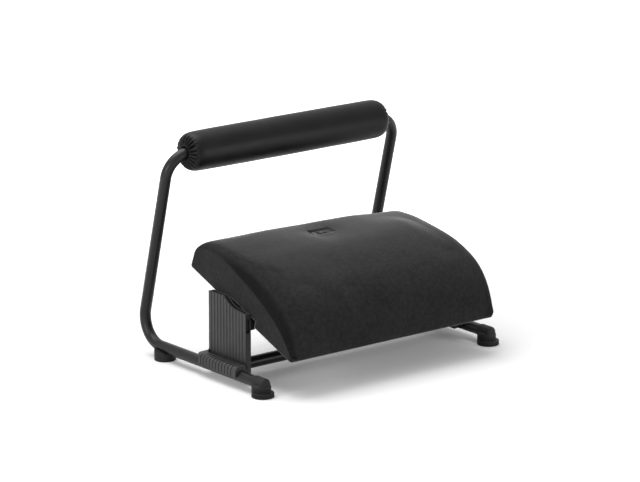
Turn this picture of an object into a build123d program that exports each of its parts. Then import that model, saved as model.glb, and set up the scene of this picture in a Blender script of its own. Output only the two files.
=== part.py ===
from build123d import *
import os
from math import cos, radians, sin, tan

os.makedirs("parts", exist_ok=True)

# Heated footrest in millimetres: X along the cushion, -Y to the user, +Z up, floor at Z = 0

# Frame tubes
TUBE_D = 19.0
TUBE_WALL = 1.5
FRAME_WIDTH = 480.0  # between the centrelines of the two side tubes
TUBE_Z = 21.0  # centreline height of the lower runs
BAR_Y = 107.0  # centreline of the top bar
BAR_Z = 352.0
LEAN = 14.4  # degrees that the uprights lean forward
LOWER_BEND_R = 44.0
TOP_BEND_R = 41.0
BAR_GAP = 1.0  # between the two half bars

# Clearances
FIT = 0.05  # radial, between a pin, screw or tube and its hole
SOFT_GAP = 0.3  # between a soft piece and its neighbour
RUN_GAP = 0.08  # radial, between the roll's core and the bar

# Joiner inside the top bar
JOINER_L = 120.0
JOINER_WALL = 2.0
JOINER_SCREW_R = 2.5
JOINER_SCREW_X = 30.0
FLUSH = 0.1  # set screws stop this far below the tube's surface

# Feet
FRONT_FOOT_Y = -138.0
BOOT_R = 16.0
BOOT_ROUND = 5.0  # of the boot's shoulder
BOOT_WALL = 1.2  # of the boot's sleeve round the tube
BOOT_SLEEVE = (14.0, 13.0)  # how far the sleeve reaches in front of and behind the boot's axis
BOOT_NOSE_ROUND = 6.0
BOOT_TUBE_DEPTH = 4.0  # the tube ends this far in front of the boot's axis
BOOT_GROOVES = [10.8, 13.5]  # heights of the grooves round the boot
SOLE_GROOVES = [2.7, 5.4]
BOOT_GROOVE_DEPTH = 1.0
BOOT_GROOVE_W = 1.2
SOLE_R = 18.5
SOLE_H = 8.0
SOLE_FORWARD = 4.0
SOLE_ROUND = 1.2
REAR_FOOT_SETBACK = 67.8  # in front of the corner where the upright's line meets the lower run
REAR_FOOT_R = 18.2
REAR_FOOT_FRONT_H = 12.5
REAR_FOOT_BACK_H = 19.5

# Screws
SCREW_R = 2.0
SCREW_HEAD_R = 4.0
SCREW_HEAD_H = 3.0
SCREW_BITE = 2.0  # how far a screw reaches past the wall that it holds

# Side brackets
PLATE_GAP = 2.5  # from the tube to the fluted face
PLATE_T = 11.0
BRACKET_BACK_Y = 18.0
BRACKET_FRONT_Y = -81.0
BRACKET_TOP_Z = 140.5
BRACKET_STEP_Y = -23.0  # the high rear part ends here
BRACKET_CURVE = [(-35.0, 130.5), (-53.0, 124.0)]  # hollow curve below the step
BRACKET_NOSE_Z = 121.0
FLARE_R = 8.0
SADDLE_WALL = 2.6
SADDLE_TOP = 16.0  # over the tube's centreline
SADDLE_ROUND = 7.0
SADDLE_CORNER_R = 16.0  # of the rear corner, seen from above
SADDLE_FORWARD = 4.0  # of the saddle's front end from the front of the plate
SADDLE_MOUTH = 4.0  # the plate reaches this far below the tube's centreline
SADDLE_LIP = 0.5  # the saddle's outer wall reaches this far below the tube's centreline
SADDLE_BRIDGE = 7.0  # height of the web between saddle and plate, over the tube's centreline
FOOT_RECESS = 2.5  # depth of the recess along the plate's foot, between web and flutes
FLUTES = 12
FLUTE_R = 1.6
FLUTE_DEPTH = 1.5
FLUTE_FOOT_Z = 41.0
RING_DEPTH = 0.8
RING_W = 2.4
SLOT_SKIN = 2.8  # on each side of the slot in the bracket's top
SLOT_END = 5.0
SLOT_DEPTH = 9.0
POCKET_SIZE = (6.0, 8.0, 24.0)  # front pocket: depth, width along X, height
POCKET_Z = 100.7
BRACKET_SCREW_SPAN = 64.0

# Crossbar
CROSSBAR_D = 20.0
CROSSBAR_WALL = 1.5
CROSSBAR_Y = -32.0
SOCKET_DEPTH = 9.0  # of the crossbar in the bracket, from the plate's inner face
BOSS_WALL = 4.0
BOSS_REACH = 7.0  # inward from the plate's inner face
BOSS_FLAT = 3.0  # wall left under the crossbar where its screw head seats

# Tilt hinge
TILT = 21.4  # degrees that the cushion's base rises to the rear, as photographed
PIVOT_Y = -46.2
PIVOT_Z = 101.6
PIVOT_DROP = 11.0  # pivot axis below the cushion's base
HUB_R = 20.0
HUB_L = 25.0
HUB_GAP = 1.0  # between the hub and the bracket, where the washer lies
BOLT_R = 4.0
BOLT_HEAD_R = 7.0
BOLT_HEAD_H = 4.5
BOLT_SOCKET_R = 2.9
BOLT_SOCKET_DEPTH = 2.8
THREAD_R = 3.0
INSERT_WALL = 1.5
INSERT_L = 8.0
WASHER_R = 18.0
WASHER_T = 0.8
LUG_SIZE = (25.0, 72.0, 4.5)  # plate over the hub: along X, along the base, thickness
LUG_WEB = 28.0
LUG_SCREW_SPAN = (12.0, 56.0)
LUG_SCREW_R = 1.5
LUG_SCREW_HEAD_R = 3.0
LUG_SCREW_HEAD_H = 2.2

# Cushion form, along the base (s) and square to it (h), measured from the middle of the base
END_GAP = 1.0  # between the cushion's ends and the brackets
CUSHION_D = 286.0
NOSE_H = 8.0
HEEL_CORNER = 4.0
# Profiles: crests measured in from the front and rear edges, fall in degrees at the rear crest
END_PANEL = {"front": (81.0, 49.0), "rear": (93.0, 62.0), "fall": 0.0, "corner": (6.0, 36.6), "wall": 25.6}
CROWN = {"front": (81.0, 84.0), "rear": (93.0, 75.0), "fall": 13.5, "corner": (17.0, 52.5), "wall": 28.0}
CORNER_SLOPE = 30.0  # degrees, of the surface at the rear corner
# Rounding from the end panel to the crown: depth from the end, share of the rise
SHOULDER = [(0, 0), (3, 0.36), (7, 0.56), (12, 0.70), (20, 0.84), (32, 0.93), (50, 0.975), (110, 1)]
COVER_T = 2.0
HEM = 20.0  # of the cover under the pan

# Base pan
PAN_TOP = 10.0
PAN_SKIN = 3.0
PAN_RIB_T = 3.0
PAN_RIBS_X = [-90.0, 0.0, 90.0]
PAN_RIBS_S = [-70.0, 0.0, 70.0]
NOTCH_SIZE = (34.0, 80.0, 14.0)  # hinge notch: depth from the end, along the base, height
NOTCH_WALL = 4.0
NOTCH_ROOF = 6.0

# Heating
MAT_T = 2.0
MAT_L = 300.0
MAT_FRONT = 38.0  # from the cushion's front edge
MAT_REAR = 78.0  # from the cushion's rear edge
CUTOUT_SIZE = (12.0, 22.0, 5.0)
CUTOUT_INSET = 123.0  # middle of the cut-out to the cushion's rear edge
CUTOUT_TOP = 74.0
LEAD_R = 1.4
LEAD_ROOM = 0.6  # radial room of a lead in its channel

# Control
CONTROL_PLACE = 0.5  # share of the way along the rear curve of the crown
CONTROL_SINK = 0.8  # bezel below the cover's surface
CONTROL_SIZE = (42.0, 20.0)
CONTROL_DEPTH = 14.2
CONTROL_WALL = 1.8
CONTROL_FLANGE = (50.0, 28.0, 1.4)
CONTROL_FLANGE_Z = -5.1
BACK_T = 1.2
BOARD_T = 1.2
BOARD_Z = -10.6  # underside of the board
BOARD_GAP = 0.3
POST = 2.2
BUTTON_SIZE = (16.0, 10.0)
BUTTON_GAP = 0.2
BUTTON_TOP = -0.2
BUTTON_LIP = 1.4
BUTTON_LIP_T = 1.2
BUTTON_LIP_GAP = 0.4
BUTTON_TRAVEL = 0.8
BUTTON_REST = 0.2  # left between stem and plunger at the end of the travel
CAP_ROUND = 0.5
STEM_R = 2.0
SWITCH_SIZE = (6.0, 6.0, 1.5)
PLUNGER_R = 1.7
PLUNGER_L = 0.7
LENS_X = -14.5
LENS_PITCH = 4.0
LENS_R = 1.0
LENS_COUNT = 3
LENS_BAR = (2.4, 11.0, 1.0)
LED_SIZE = (2.0, 2.0, 1.0)

# Power inlet in the rear wall
INLET_H = 24.0
INLET_POST = (24.0, 3.0, 24.0)  # along X, thickness, height above the pan
INLET_INSET = 10.5  # middle of the post to the cushion's rear edge
INLET_THREAD_R = 5.5
INLET_TAIL = 11.0
INLET_FLANGE_R = 7.0
INLET_FLANGE_T = 2.0
INLET_NOSE_R = 6.0
INLET_BORE_R = 3.2
INLET_BORE_L = 9.0
INLET_PIN_R = 1.0
NUT_R = 8.0
NUT_T = 3.0
SUPPLY_BEND = (73.0, 30.0)  # corner of the lead's route, in from the rear edge, and h
SUPPLY_BEND_R = 14.0

# Padded roll
ROLL_R = 33.6
ROLL_END_R = 32.6
ROLL_OVERHANG = 9.0  # of the cover past each end of the core
ROLL_ROUND = 19.0
ROLL_DIMPLE = 4.0  # how far the gathered ends are drawn in at the mouth
ROLL_COVER_T = 1.2
CORE_WALL = 2.0
CORE_END_GAP = 2.0  # from the core's end to the bar's bend
ELASTIC_R = 1.2

# Worked-out places
tube_r = TUBE_D / 2
half_frame = FRAME_WIDTH / 2
rear_corner_y = BAR_Y + (BAR_Z - TUBE_Z) * tan(radians(LEAN))
tube_front_y = FRONT_FOOT_Y - BOOT_TUBE_DEPTH
rear_foot_y = rear_corner_y - REAR_FOOT_SETBACK
plate_out = half_frame - tube_r - PLATE_GAP
plate_in = plate_out - PLATE_T
saddle_r = tube_r + SADDLE_WALL
saddle_w = half_frame + saddle_r - plate_out
saddle_top_z = TUBE_Z + SADDLE_TOP
saddle_front_y = BRACKET_FRONT_Y - SADDLE_FORWARD
flare_back_y = BRACKET_BACK_Y + FLARE_R
flare_top_z = saddle_top_z + FLARE_R
saddle_l = flare_back_y - saddle_front_y
bar_axis = Axis((0, BAR_Y, BAR_Z), (1, 0, 0))
crossbar_r = CROSSBAR_D / 2
crossbar_half = plate_in + SOCKET_DEPTH
screw_ys = [CROSSBAR_Y - BRACKET_SCREW_SPAN / 2, CROSSBAR_Y + BRACKET_SCREW_SPAN / 2]
along = Vector(0, cos(radians(TILT)), sin(radians(TILT)))
upward = Vector(0, -sin(radians(TILT)), cos(radians(TILT)))
base_middle = Vector(0, PIVOT_Y, PIVOT_Z) + upward * PIVOT_DROP
base_plane = Plane(origin=base_middle, x_dir=(1, 0, 0), z_dir=upward)
hub_out = plate_in - HUB_GAP
hub_in = hub_out - HUB_L
half_length = plate_in - END_GAP
half_depth = CUSHION_D / 2
mat_inset = COVER_T + SOFT_GAP
foam_inset = mat_inset + MAT_T + SOFT_GAP
pan_half_l = half_length - COVER_T - SOFT_GAP
pan_half_d = half_depth - COVER_T - SOFT_GAP - HEEL_CORNER
pan_low = COVER_T + SOFT_GAP
notch_l, notch_d, notch_h = NOTCH_SIZE
notch_in = half_length - notch_l
rear_fall = (cos(radians(CROWN["fall"])), -sin(radians(CROWN["fall"])))
crown_rear = (half_depth - CROWN["rear"][0], CROWN["rear"][1])
crown_corner = (half_depth - CROWN["corner"][0], CROWN["corner"][1])
rear_curve = TangentArc(crown_rear, crown_corner, tangent=rear_fall)
control_spot = rear_curve.position_at(CONTROL_PLACE)
control_run = rear_curve.tangent_at(CONTROL_PLACE)
control_up = upward * control_run.X - along * control_run.Y
control_plane = Plane(
    origin=base_middle + along * control_spot.X + upward * control_spot.Y, x_dir=(1, 0, 0), z_dir=control_up
)
board_top = BOARD_Z + BOARD_T
control_low = -CONTROL_SINK - CONTROL_DEPTH
cavity = (CONTROL_SIZE[0] - 2 * CONTROL_WALL, CONTROL_SIZE[1] - 2 * CONTROL_WALL)
inlet_back = half_depth - INLET_INSET + INLET_POST[1] / 2
inlet_front = half_depth - INLET_INSET - INLET_POST[1] / 2
mirror_plane = Plane.YZ


def side_plane(x):
    """Plane square to X in which a sketch's axes run along the base and square to it."""
    return Plane(origin=base_middle + Vector(x, 0, 0), x_dir=along, z_dir=(1, 0, 0))


def on_base(x, s, h):
    """Point of the frame at a place given along X, along the cushion's base and square to it."""
    return Vector(x, 0, 0) + base_middle + along * s + upward * h


def save(builder, name):
    """Label a finished piece and write its file."""
    builder.part.label = name
    export_step(builder.part, f"parts/{name}.step")


def save_pair(builder, name):
    """Write a left-hand piece and its mirror image."""
    with BuildPart() as twin:
        mirror(builder.part, about=mirror_plane)
    save(builder, f"left_{name}")
    save(twin, f"right_{name}")


def frame_path():
    """Centreline of the left tube, from its front end to the middle of the top bar."""
    with BuildLine() as path:
        FilletPolyline(
            (-half_frame, tube_front_y, TUBE_Z),
            (-half_frame, rear_corner_y, TUBE_Z),
            (-half_frame, BAR_Y, BAR_Z),
            (-BAR_GAP / 2, BAR_Y, BAR_Z),
            radius=[LOWER_BEND_R, TOP_BEND_R],
        )
    return path.line


def rod(path, radius):
    """Solid round bar along a path."""
    with BuildPart() as bar:
        with BuildSketch(Plane(origin=path @ 0, z_dir=path % 0)):
            Circle(radius)
        sweep(path=path)
    return bar.part


def between(low, high, share):
    """Number or point at a share of the way between two others."""
    if isinstance(low, tuple):
        return tuple(a + (b - a) * share for a, b in zip(low, high))
    return low + (high - low) * share


def cushion_form(inset):
    """The cushion's outer form, or the same form moved in by an inset on every side."""
    depths = [(half_length - inset - depth, rise) for depth, rise in SHOULDER]
    stations = [(-x, rise) for x, rise in depths] + [(x, rise) for x, rise in reversed(depths)]
    front = -half_depth + inset
    back = half_depth - inset
    lean_in = inset * sin(radians(CORNER_SLOPE))
    lean_down = inset * cos(radians(CORNER_SLOPE))
    with BuildPart() as form:
        for x, rise in stations:
            shape = {key: between(END_PANEL[key], CROWN[key], rise) for key in CROWN}
            crest_front = (shape["front"][0] - half_depth, shape["front"][1] - inset)
            crest_rear = (half_depth - shape["rear"][0], shape["rear"][1] - inset)
            corner = (half_depth - shape["corner"][0] - lean_in, shape["corner"][1] - lean_down)
            fall = radians(shape["fall"])
            with BuildSketch(side_plane(x)):
                with BuildLine():
                    Line((back - HEEL_CORNER, inset), (front, inset))
                    Line((front, inset), (front, NOSE_H))
                    crest = TangentArc(crest_rear, crest_front, tangent=(-cos(fall), sin(fall)))
                    TangentArc(crest_front, (front, NOSE_H), tangent=crest % 1)
                    rear = TangentArc(crest_rear, corner, tangent=(cos(fall), -sin(fall)))
                    TangentArc(corner, (back, shape["wall"]), tangent=rear % 1)
                    Line((back, shape["wall"]), (back, inset + HEEL_CORNER))
                    Line((back, inset + HEEL_CORNER), (back - HEEL_CORNER, inset))
                make_face()
        loft(ruled=True)
    return form.part


def base_block(x_span, s_span, h_span, mode=Mode.ADD):
    """Block between two places along X, along the base and square to it, in the current piece."""
    middle = on_base(*[(span[0] + span[1]) / 2 for span in (x_span, s_span, h_span)])
    size = [span[1] - span[0] for span in (x_span, s_span, h_span)]
    with Locations(Plane(origin=middle, x_dir=(1, 0, 0), z_dir=upward).location):
        Box(*size, mode=mode)


def control_block(size, z_span, center=(0, 0), mode=Mode.ADD):
    """Block centred on the control's plane between two heights, in the current piece."""
    middle = control_plane.from_local_coords((*center, (z_span[0] + z_span[1]) / 2))
    with Locations(Plane(origin=middle, x_dir=(1, 0, 0), z_dir=control_up).location):
        Box(size[0], size[1], z_span[1] - z_span[0], mode=mode)


def control_peg(radius, z_span, center=(0, 0), mode=Mode.ADD):
    """Round peg square to the control's plane between two heights, in the current piece."""
    middle = control_plane.from_local_coords((*center, (z_span[0] + z_span[1]) / 2))
    with Locations(Plane(origin=middle, x_dir=(1, 0, 0), z_dir=control_up).location):
        Cylinder(radius, z_span[1] - z_span[0], mode=mode)


def peg_x(radius, x_span, y, z, mode=Mode.ADD):
    """Round peg along X between two places, in the current piece."""
    middle = ((x_span[0] + x_span[1]) / 2, y, z)
    with Locations(Plane(origin=middle, x_dir=(0, 1, 0), z_dir=(1, 0, 0)).location):
        Cylinder(radius, abs(x_span[1] - x_span[0]), mode=mode)


def peg_s(radius, s_span, h, mode=Mode.ADD):
    """Round peg along the cushion's base between two places, in the current piece."""
    middle = on_base(0, (s_span[0] + s_span[1]) / 2, h)
    with Locations(Plane(origin=middle, x_dir=(1, 0, 0), z_dir=along).location):
        Cylinder(radius, s_span[1] - s_span[0], mode=mode)


def peg_z(radius, x, y, z_span, mode=Mode.ADD):
    """Upright round peg between two heights, in the current piece."""
    with Locations((x, y, (z_span[0] + z_span[1]) / 2)):
        Cylinder(radius, z_span[1] - z_span[0], mode=mode)


def ring_groove(radius, y, z):
    """Ring that cuts a groove round an upright foot on the left tube."""
    z_span = (z - BOOT_GROOVE_W / 2, z + BOOT_GROOVE_W / 2)
    with BuildPart() as ring:
        peg_z(radius + BOOT_GROOVE_W, -half_frame, y, z_span)
        peg_z(radius - BOOT_GROOVE_DEPTH, -half_frame, y, z_span, mode=Mode.SUBTRACT)
    return ring.part


# Frame tubes, with the holes for the screws that they take
left_path = frame_path()
tube_low = TUBE_Z - tube_r
with BuildPart() as left_tube:
    add(rod(left_path, tube_r))
    add(rod(left_path, tube_r - TUBE_WALL), mode=Mode.SUBTRACT)
    peg_z(SCREW_R + FIT, -half_frame, rear_foot_y, (tube_low - SCREW_BITE, TUBE_Z), mode=Mode.SUBTRACT)
    for y in screw_ys:
        peg_x(SCREW_R + FIT, (-half_frame, -half_frame + tube_r), y, TUBE_Z, mode=Mode.SUBTRACT)
    peg_z(JOINER_SCREW_R + FIT, -JOINER_SCREW_X, BAR_Y, (BAR_Z - TUBE_D, BAR_Z), mode=Mode.SUBTRACT)
save_pair(left_tube, "frame_tube")

# Sleeve that joins the two half bars
joiner_r = tube_r - TUBE_WALL - FIT
with BuildPart() as joiner:
    peg_x(joiner_r, (-JOINER_L / 2, JOINER_L / 2), BAR_Y, BAR_Z)
    peg_x(joiner_r - JOINER_WALL, (-JOINER_L / 2, JOINER_L / 2), BAR_Y, BAR_Z, mode=Mode.SUBTRACT)
    for x in (-JOINER_SCREW_X, JOINER_SCREW_X):
        peg_z(JOINER_SCREW_R + FIT, x, BAR_Y, (BAR_Z - TUBE_D, BAR_Z), mode=Mode.SUBTRACT)
save(joiner, "tube_joiner")

with BuildPart() as joiner_screws:
    for x in (-JOINER_SCREW_X, JOINER_SCREW_X):
        screw_top = BAR_Z - joiner_r + JOINER_WALL
        peg_z(JOINER_SCREW_R, x, BAR_Y, (BAR_Z - tube_r + FLUSH, screw_top))
    peg_x(tube_r - FLUSH, (-JOINER_L, JOINER_L), BAR_Y, BAR_Z, mode=Mode.INTERSECT)
save(joiner_screws, "joiner_screws")

# Front feet: an upright boot with a sleeve for the tube's end, on a wider sole set forward
sole_y = FRONT_FOOT_Y - SOLE_FORWARD
sleeve_front, sleeve_back = BOOT_SLEEVE
with BuildPart() as sleeve:
    with BuildSketch(Plane.XZ.offset(sleeve_front - FRONT_FOOT_Y)):
        with Locations((-half_frame, TUBE_Z)):
            Circle(tube_r + BOOT_WALL)
    extrude(amount=-sleeve_front - sleeve_back)
    fillet(sleeve.edges().group_by(Axis.Y)[0], BOOT_NOSE_ROUND)

with BuildPart() as sole:
    peg_z(SOLE_R, -half_frame, sole_y, (0, SOLE_H))
    fillet(sole.edges().filter_by(GeomType.CIRCLE), SOLE_ROUND)
    for groove_z in SOLE_GROOVES:
        add(ring_groove(SOLE_R, sole_y, groove_z), mode=Mode.SUBTRACT)

with BuildPart() as front_foot:
    peg_z(BOOT_R, -half_frame, FRONT_FOOT_Y, (SOLE_ROUND, TUBE_Z))
    fillet(front_foot.edges().group_by(Axis.Z)[-1], BOOT_ROUND)
    add(sleeve.part)
    for groove_z in BOOT_GROOVES:
        add(ring_groove(BOOT_R, FRONT_FOOT_Y, groove_z), mode=Mode.SUBTRACT)
    add(sole.part)
    with BuildSketch(Plane.XZ.offset(-tube_front_y)):
        with Locations((-half_frame, TUBE_Z)):
            Circle(tube_r + FIT)
    extrude(amount=-2 * BOOT_R, mode=Mode.SUBTRACT)
save_pair(front_foot, "front_foot")

# Rear feet: round pads whose sloping top is hollowed to the tube
with BuildPart() as rear_foot:
    peg_z(REAR_FOOT_R, -half_frame, rear_foot_y, (0, REAR_FOOT_BACK_H))
    fillet(rear_foot.edges().group_by(Axis.Z)[0], SOLE_ROUND)
    with BuildSketch(Plane.YZ.offset(-half_frame)):
        with BuildLine():
            Polyline(
                (rear_foot_y - REAR_FOOT_R, REAR_FOOT_FRONT_H),
                (rear_foot_y + REAR_FOOT_R, REAR_FOOT_BACK_H),
                (rear_foot_y - REAR_FOOT_R, REAR_FOOT_BACK_H),
                close=True,
            )
        make_face()
    extrude(amount=REAR_FOOT_R, both=True, mode=Mode.SUBTRACT)
    add(rod(left_path, tube_r + FIT), mode=Mode.SUBTRACT)
    peg_z(SCREW_R + FIT, -half_frame, rear_foot_y, (0, TUBE_Z), mode=Mode.SUBTRACT)
    peg_z(SCREW_HEAD_R + FIT, -half_frame, rear_foot_y, (0, 2 * SCREW_HEAD_H), mode=Mode.SUBTRACT)
save_pair(rear_foot, "rear_foot")

with BuildPart() as rear_foot_screws:
    tip_z = tube_low + TUBE_WALL + SCREW_BITE
    peg_z(SCREW_HEAD_R, -half_frame, rear_foot_y, (SCREW_HEAD_H, 2 * SCREW_HEAD_H))
    peg_z(SCREW_R, -half_frame, rear_foot_y, (SCREW_HEAD_H, tip_z))
    mirror(about=mirror_plane)
save(rear_foot_screws, "rear_foot_screws")

# Side brackets: a fluted upright plate on a ribbed saddle over the tube
flute_pitch = (BRACKET_BACK_Y - BRACKET_FRONT_Y) / FLUTES
bracket_low = TUBE_Z - SADDLE_MOUTH
slot_l = BRACKET_BACK_Y - BRACKET_FRONT_Y - 2 * SLOT_END
with BuildSketch() as outline:
    with BuildLine():
        Line((BRACKET_FRONT_Y, bracket_low), (BRACKET_FRONT_Y, BRACKET_NOSE_Z))
        Line((BRACKET_FRONT_Y, BRACKET_NOSE_Z), BRACKET_CURVE[1])
        ThreePointArc(BRACKET_CURVE[1], BRACKET_CURVE[0], (BRACKET_STEP_Y, BRACKET_TOP_Z))
        Line((BRACKET_STEP_Y, BRACKET_TOP_Z), (BRACKET_BACK_Y, BRACKET_TOP_Z))
        Line((BRACKET_BACK_Y, BRACKET_TOP_Z), (BRACKET_BACK_Y, flare_top_z))
        JernArc((BRACKET_BACK_Y, flare_top_z), (0, -1), FLARE_R, 90)
        Line((flare_back_y, saddle_top_z), (flare_back_y, bracket_low))
        Line((flare_back_y, bracket_low), (BRACKET_FRONT_Y, bracket_low))
    make_face()

with BuildSketch() as saddle_section:
    with Locations((-half_frame - saddle_r, bracket_low)):
        Rectangle(saddle_w, saddle_top_z - bracket_low, align=(Align.MIN, Align.MIN))
    fillet(saddle_section.vertices().group_by(Axis.Y)[-1].sort_by(Axis.X)[0], SADDLE_ROUND)

with BuildPart() as saddle:
    with BuildSketch(Plane.XZ.offset(-flare_back_y)):
        add(saddle_section.sketch)
    extrude(amount=saddle_l)
    with BuildSketch() as plan:
        with Locations((-half_frame - saddle_r, saddle_front_y)):
            Rectangle(saddle_w, saddle_l, align=(Align.MIN, Align.MIN))
        fillet(plan.vertices().group_by(Axis.Y)[-1].sort_by(Axis.X)[0], SADDLE_CORNER_R)
    extrude(amount=saddle_top_z, mode=Mode.INTERSECT)
    for i in range(1, FLUTES):
        with BuildSketch(Plane.XZ.offset(-BRACKET_FRONT_Y - flute_pitch * i)):
            add(saddle_section.sketch)
            add(Pos(RING_DEPTH, -RING_DEPTH) * saddle_section.sketch, mode=Mode.SUBTRACT)
        extrude(amount=RING_W / 2, both=True, mode=Mode.SUBTRACT)
    with Locations((-half_frame, flare_back_y, TUBE_Z - SADDLE_LIP)):
        Box(saddle_r, saddle_l, SADDLE_MOUTH, align=Align.MAX, mode=Mode.SUBTRACT)
    with BuildSketch(Plane.XZ.offset(-flare_back_y)):
        with Locations((-half_frame, TUBE_Z)):
            Circle(tube_r + FIT)
    extrude(amount=saddle_l, mode=Mode.SUBTRACT)

with BuildPart() as top_slot:
    with BuildSketch(Plane.YZ.offset(-plate_out + SLOT_SKIN)):
        add(outline.sketch)
        add(Pos(0, -SLOT_DEPTH) * outline.sketch, mode=Mode.SUBTRACT)
        with Locations((BRACKET_FRONT_Y + SLOT_END, BRACKET_TOP_Z)):
            Rectangle(slot_l, BRACKET_TOP_Z, align=(Align.MIN, Align.CENTER), mode=Mode.INTERSECT)
    extrude(amount=PLATE_T - 2 * SLOT_SKIN)

with BuildPart() as bracket:
    with BuildSketch(Plane.YZ.offset(-plate_out)):
        add(outline.sketch)
    extrude(amount=PLATE_T)
    add(top_slot.part, mode=Mode.SUBTRACT)
    add(saddle.part)
    with Locations((-half_frame + tube_r, BRACKET_BACK_Y, TUBE_Z + SADDLE_BRIDGE)):
        recess_l = BRACKET_BACK_Y - saddle_front_y
        recess_size = (PLATE_GAP + FOOT_RECESS, recess_l, FLUTE_FOOT_Z - TUBE_Z - SADDLE_BRIDGE)
        Box(*recess_size, align=(Align.MIN, Align.MAX, Align.MIN), mode=Mode.SUBTRACT)
    for i in range(FLUTES - 1):
        flute_y = BRACKET_FRONT_Y + flute_pitch * (i + 1)
        flute_x = -plate_out - FLUTE_R + FLUTE_DEPTH
        peg_z(FLUTE_R, flute_x, flute_y, (FLUTE_FOOT_Z, BRACKET_TOP_Z), mode=Mode.SUBTRACT)
    peg_x(crossbar_r + BOSS_WALL, (-plate_out, -plate_in + BOSS_REACH), CROSSBAR_Y, TUBE_Z)
    with BuildSketch(Plane.XY.offset(TUBE_Z - crossbar_r - BOSS_FLAT)):
        with Locations((-plate_in, CROSSBAR_Y)):
            Rectangle(2 * PLATE_T, CROSSBAR_D)
    extrude(amount=-BOSS_WALL, mode=Mode.SUBTRACT)
    peg_x(crossbar_r + FIT, (-crossbar_half, -plate_in + BOSS_REACH), CROSSBAR_Y, TUBE_Z, mode=Mode.SUBTRACT)
    peg_z(SCREW_R + FIT, -plate_in, CROSSBAR_Y, (0, TUBE_Z), mode=Mode.SUBTRACT)
    for y in screw_ys:
        peg_x(SCREW_R + FIT, (-half_frame, -plate_in), y, TUBE_Z, mode=Mode.SUBTRACT)
    peg_x(THREAD_R + INSERT_WALL, (-plate_in - INSERT_L, -plate_in), PIVOT_Y, PIVOT_Z, mode=Mode.SUBTRACT)
    with Locations((-plate_out + PLATE_T / 2, BRACKET_FRONT_Y, POCKET_Z)):
        Box(POCKET_SIZE[1], 2 * POCKET_SIZE[0], POCKET_SIZE[2], mode=Mode.SUBTRACT)
save_pair(bracket, "side_bracket")

with BuildPart() as bracket_screws:
    for y in screw_ys:
        peg_x(SCREW_HEAD_R, (-plate_in, -plate_in + SCREW_HEAD_H), y, TUBE_Z)
        peg_x(SCREW_R, (-half_frame + tube_r - TUBE_WALL - SCREW_BITE, -plate_in), y, TUBE_Z)
    mirror(about=mirror_plane)
save(bracket_screws, "bracket_screws")

# Crossbar between the brackets
with BuildPart() as crossbar:
    peg_x(crossbar_r, (-crossbar_half, crossbar_half), CROSSBAR_Y, TUBE_Z)
    peg_x(crossbar_r - CROSSBAR_WALL, (-crossbar_half, crossbar_half), CROSSBAR_Y, TUBE_Z, mode=Mode.SUBTRACT)
    for x in (-plate_in, plate_in):
        peg_z(SCREW_R + FIT, x, CROSSBAR_Y, (0, TUBE_Z), mode=Mode.SUBTRACT)
save(crossbar, "crossbar")

with BuildPart() as crossbar_screws:
    boss_low = TUBE_Z - crossbar_r - BOSS_FLAT
    peg_z(SCREW_HEAD_R, -plate_in, CROSSBAR_Y, (boss_low - SCREW_HEAD_H, boss_low))
    peg_z(SCREW_R, -plate_in, CROSSBAR_Y, (boss_low, TUBE_Z - crossbar_r + CROSSBAR_WALL + SCREW_BITE))
    mirror(about=mirror_plane)
save(crossbar_screws, "crossbar_screws")

# Tilt hinge: threaded insert, shoulder bolt and friction washer on the bracket, lug on the cushion
with BuildPart() as insert:
    peg_x(THREAD_R + INSERT_WALL - FIT, (-plate_in - INSERT_L, -plate_in), PIVOT_Y, PIVOT_Z)
    peg_x(THREAD_R + FIT, (-plate_in - INSERT_L, -plate_in), PIVOT_Y, PIVOT_Z, mode=Mode.SUBTRACT)
save_pair(insert, "pivot_insert")

bolt_seat = hub_in - FIT
with BuildPart() as bolt:
    peg_x(THREAD_R, (-plate_in - INSERT_L + FLUSH, -plate_in), PIVOT_Y, PIVOT_Z)
    peg_x(BOLT_R, (-plate_in, -bolt_seat), PIVOT_Y, PIVOT_Z)
    peg_x(BOLT_HEAD_R, (-bolt_seat, -bolt_seat + BOLT_HEAD_H), PIVOT_Y, PIVOT_Z)
    with BuildSketch(Plane.YZ.offset(-bolt_seat + BOLT_HEAD_H)):
        with Locations((PIVOT_Y, PIVOT_Z)):
            RegularPolygon(BOLT_SOCKET_R, 6)
    extrude(amount=-BOLT_SOCKET_DEPTH, mode=Mode.SUBTRACT)
save_pair(bolt, "pivot_bolt")

washer_out = plate_in - (HUB_GAP - WASHER_T) / 2
with BuildPart() as washer:
    peg_x(WASHER_R, (-washer_out, -washer_out + WASHER_T), PIVOT_Y, PIVOT_Z)
    peg_x(BOLT_R + FIT, (-washer_out, -washer_out + WASHER_T), PIVOT_Y, PIVOT_Z, mode=Mode.SUBTRACT)
save_pair(washer, "friction_washer")

lug_l, lug_d, lug_t = LUG_SIZE
lug_x = -(hub_out + hub_in) / 2
lug_screws_at = [
    (lug_x + side * LUG_SCREW_SPAN[0] / 2, end * LUG_SCREW_SPAN[1] / 2) for side in (-1, 1) for end in (-1, 1)
]
with BuildPart() as lug:
    base_block((lug_x - lug_l / 2, lug_x + lug_l / 2), (-lug_d / 2, lug_d / 2), (notch_h - lug_t, notch_h))
    base_block((-hub_out, -hub_in), (-LUG_WEB / 2, LUG_WEB / 2), (-PIVOT_DROP, notch_h - lug_t))
    peg_x(HUB_R, (-hub_out, -hub_in), PIVOT_Y, PIVOT_Z)
    peg_x(BOLT_R + FIT, (-hub_out, -hub_in), PIVOT_Y, PIVOT_Z, mode=Mode.SUBTRACT)
    for x, s in lug_screws_at:
        with Locations(Plane(origin=on_base(x, s, notch_h), x_dir=(1, 0, 0), z_dir=upward).location):
            Hole(LUG_SCREW_R + FIT, depth=lug_t)
save_pair(lug, "hinge_lug")

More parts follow.
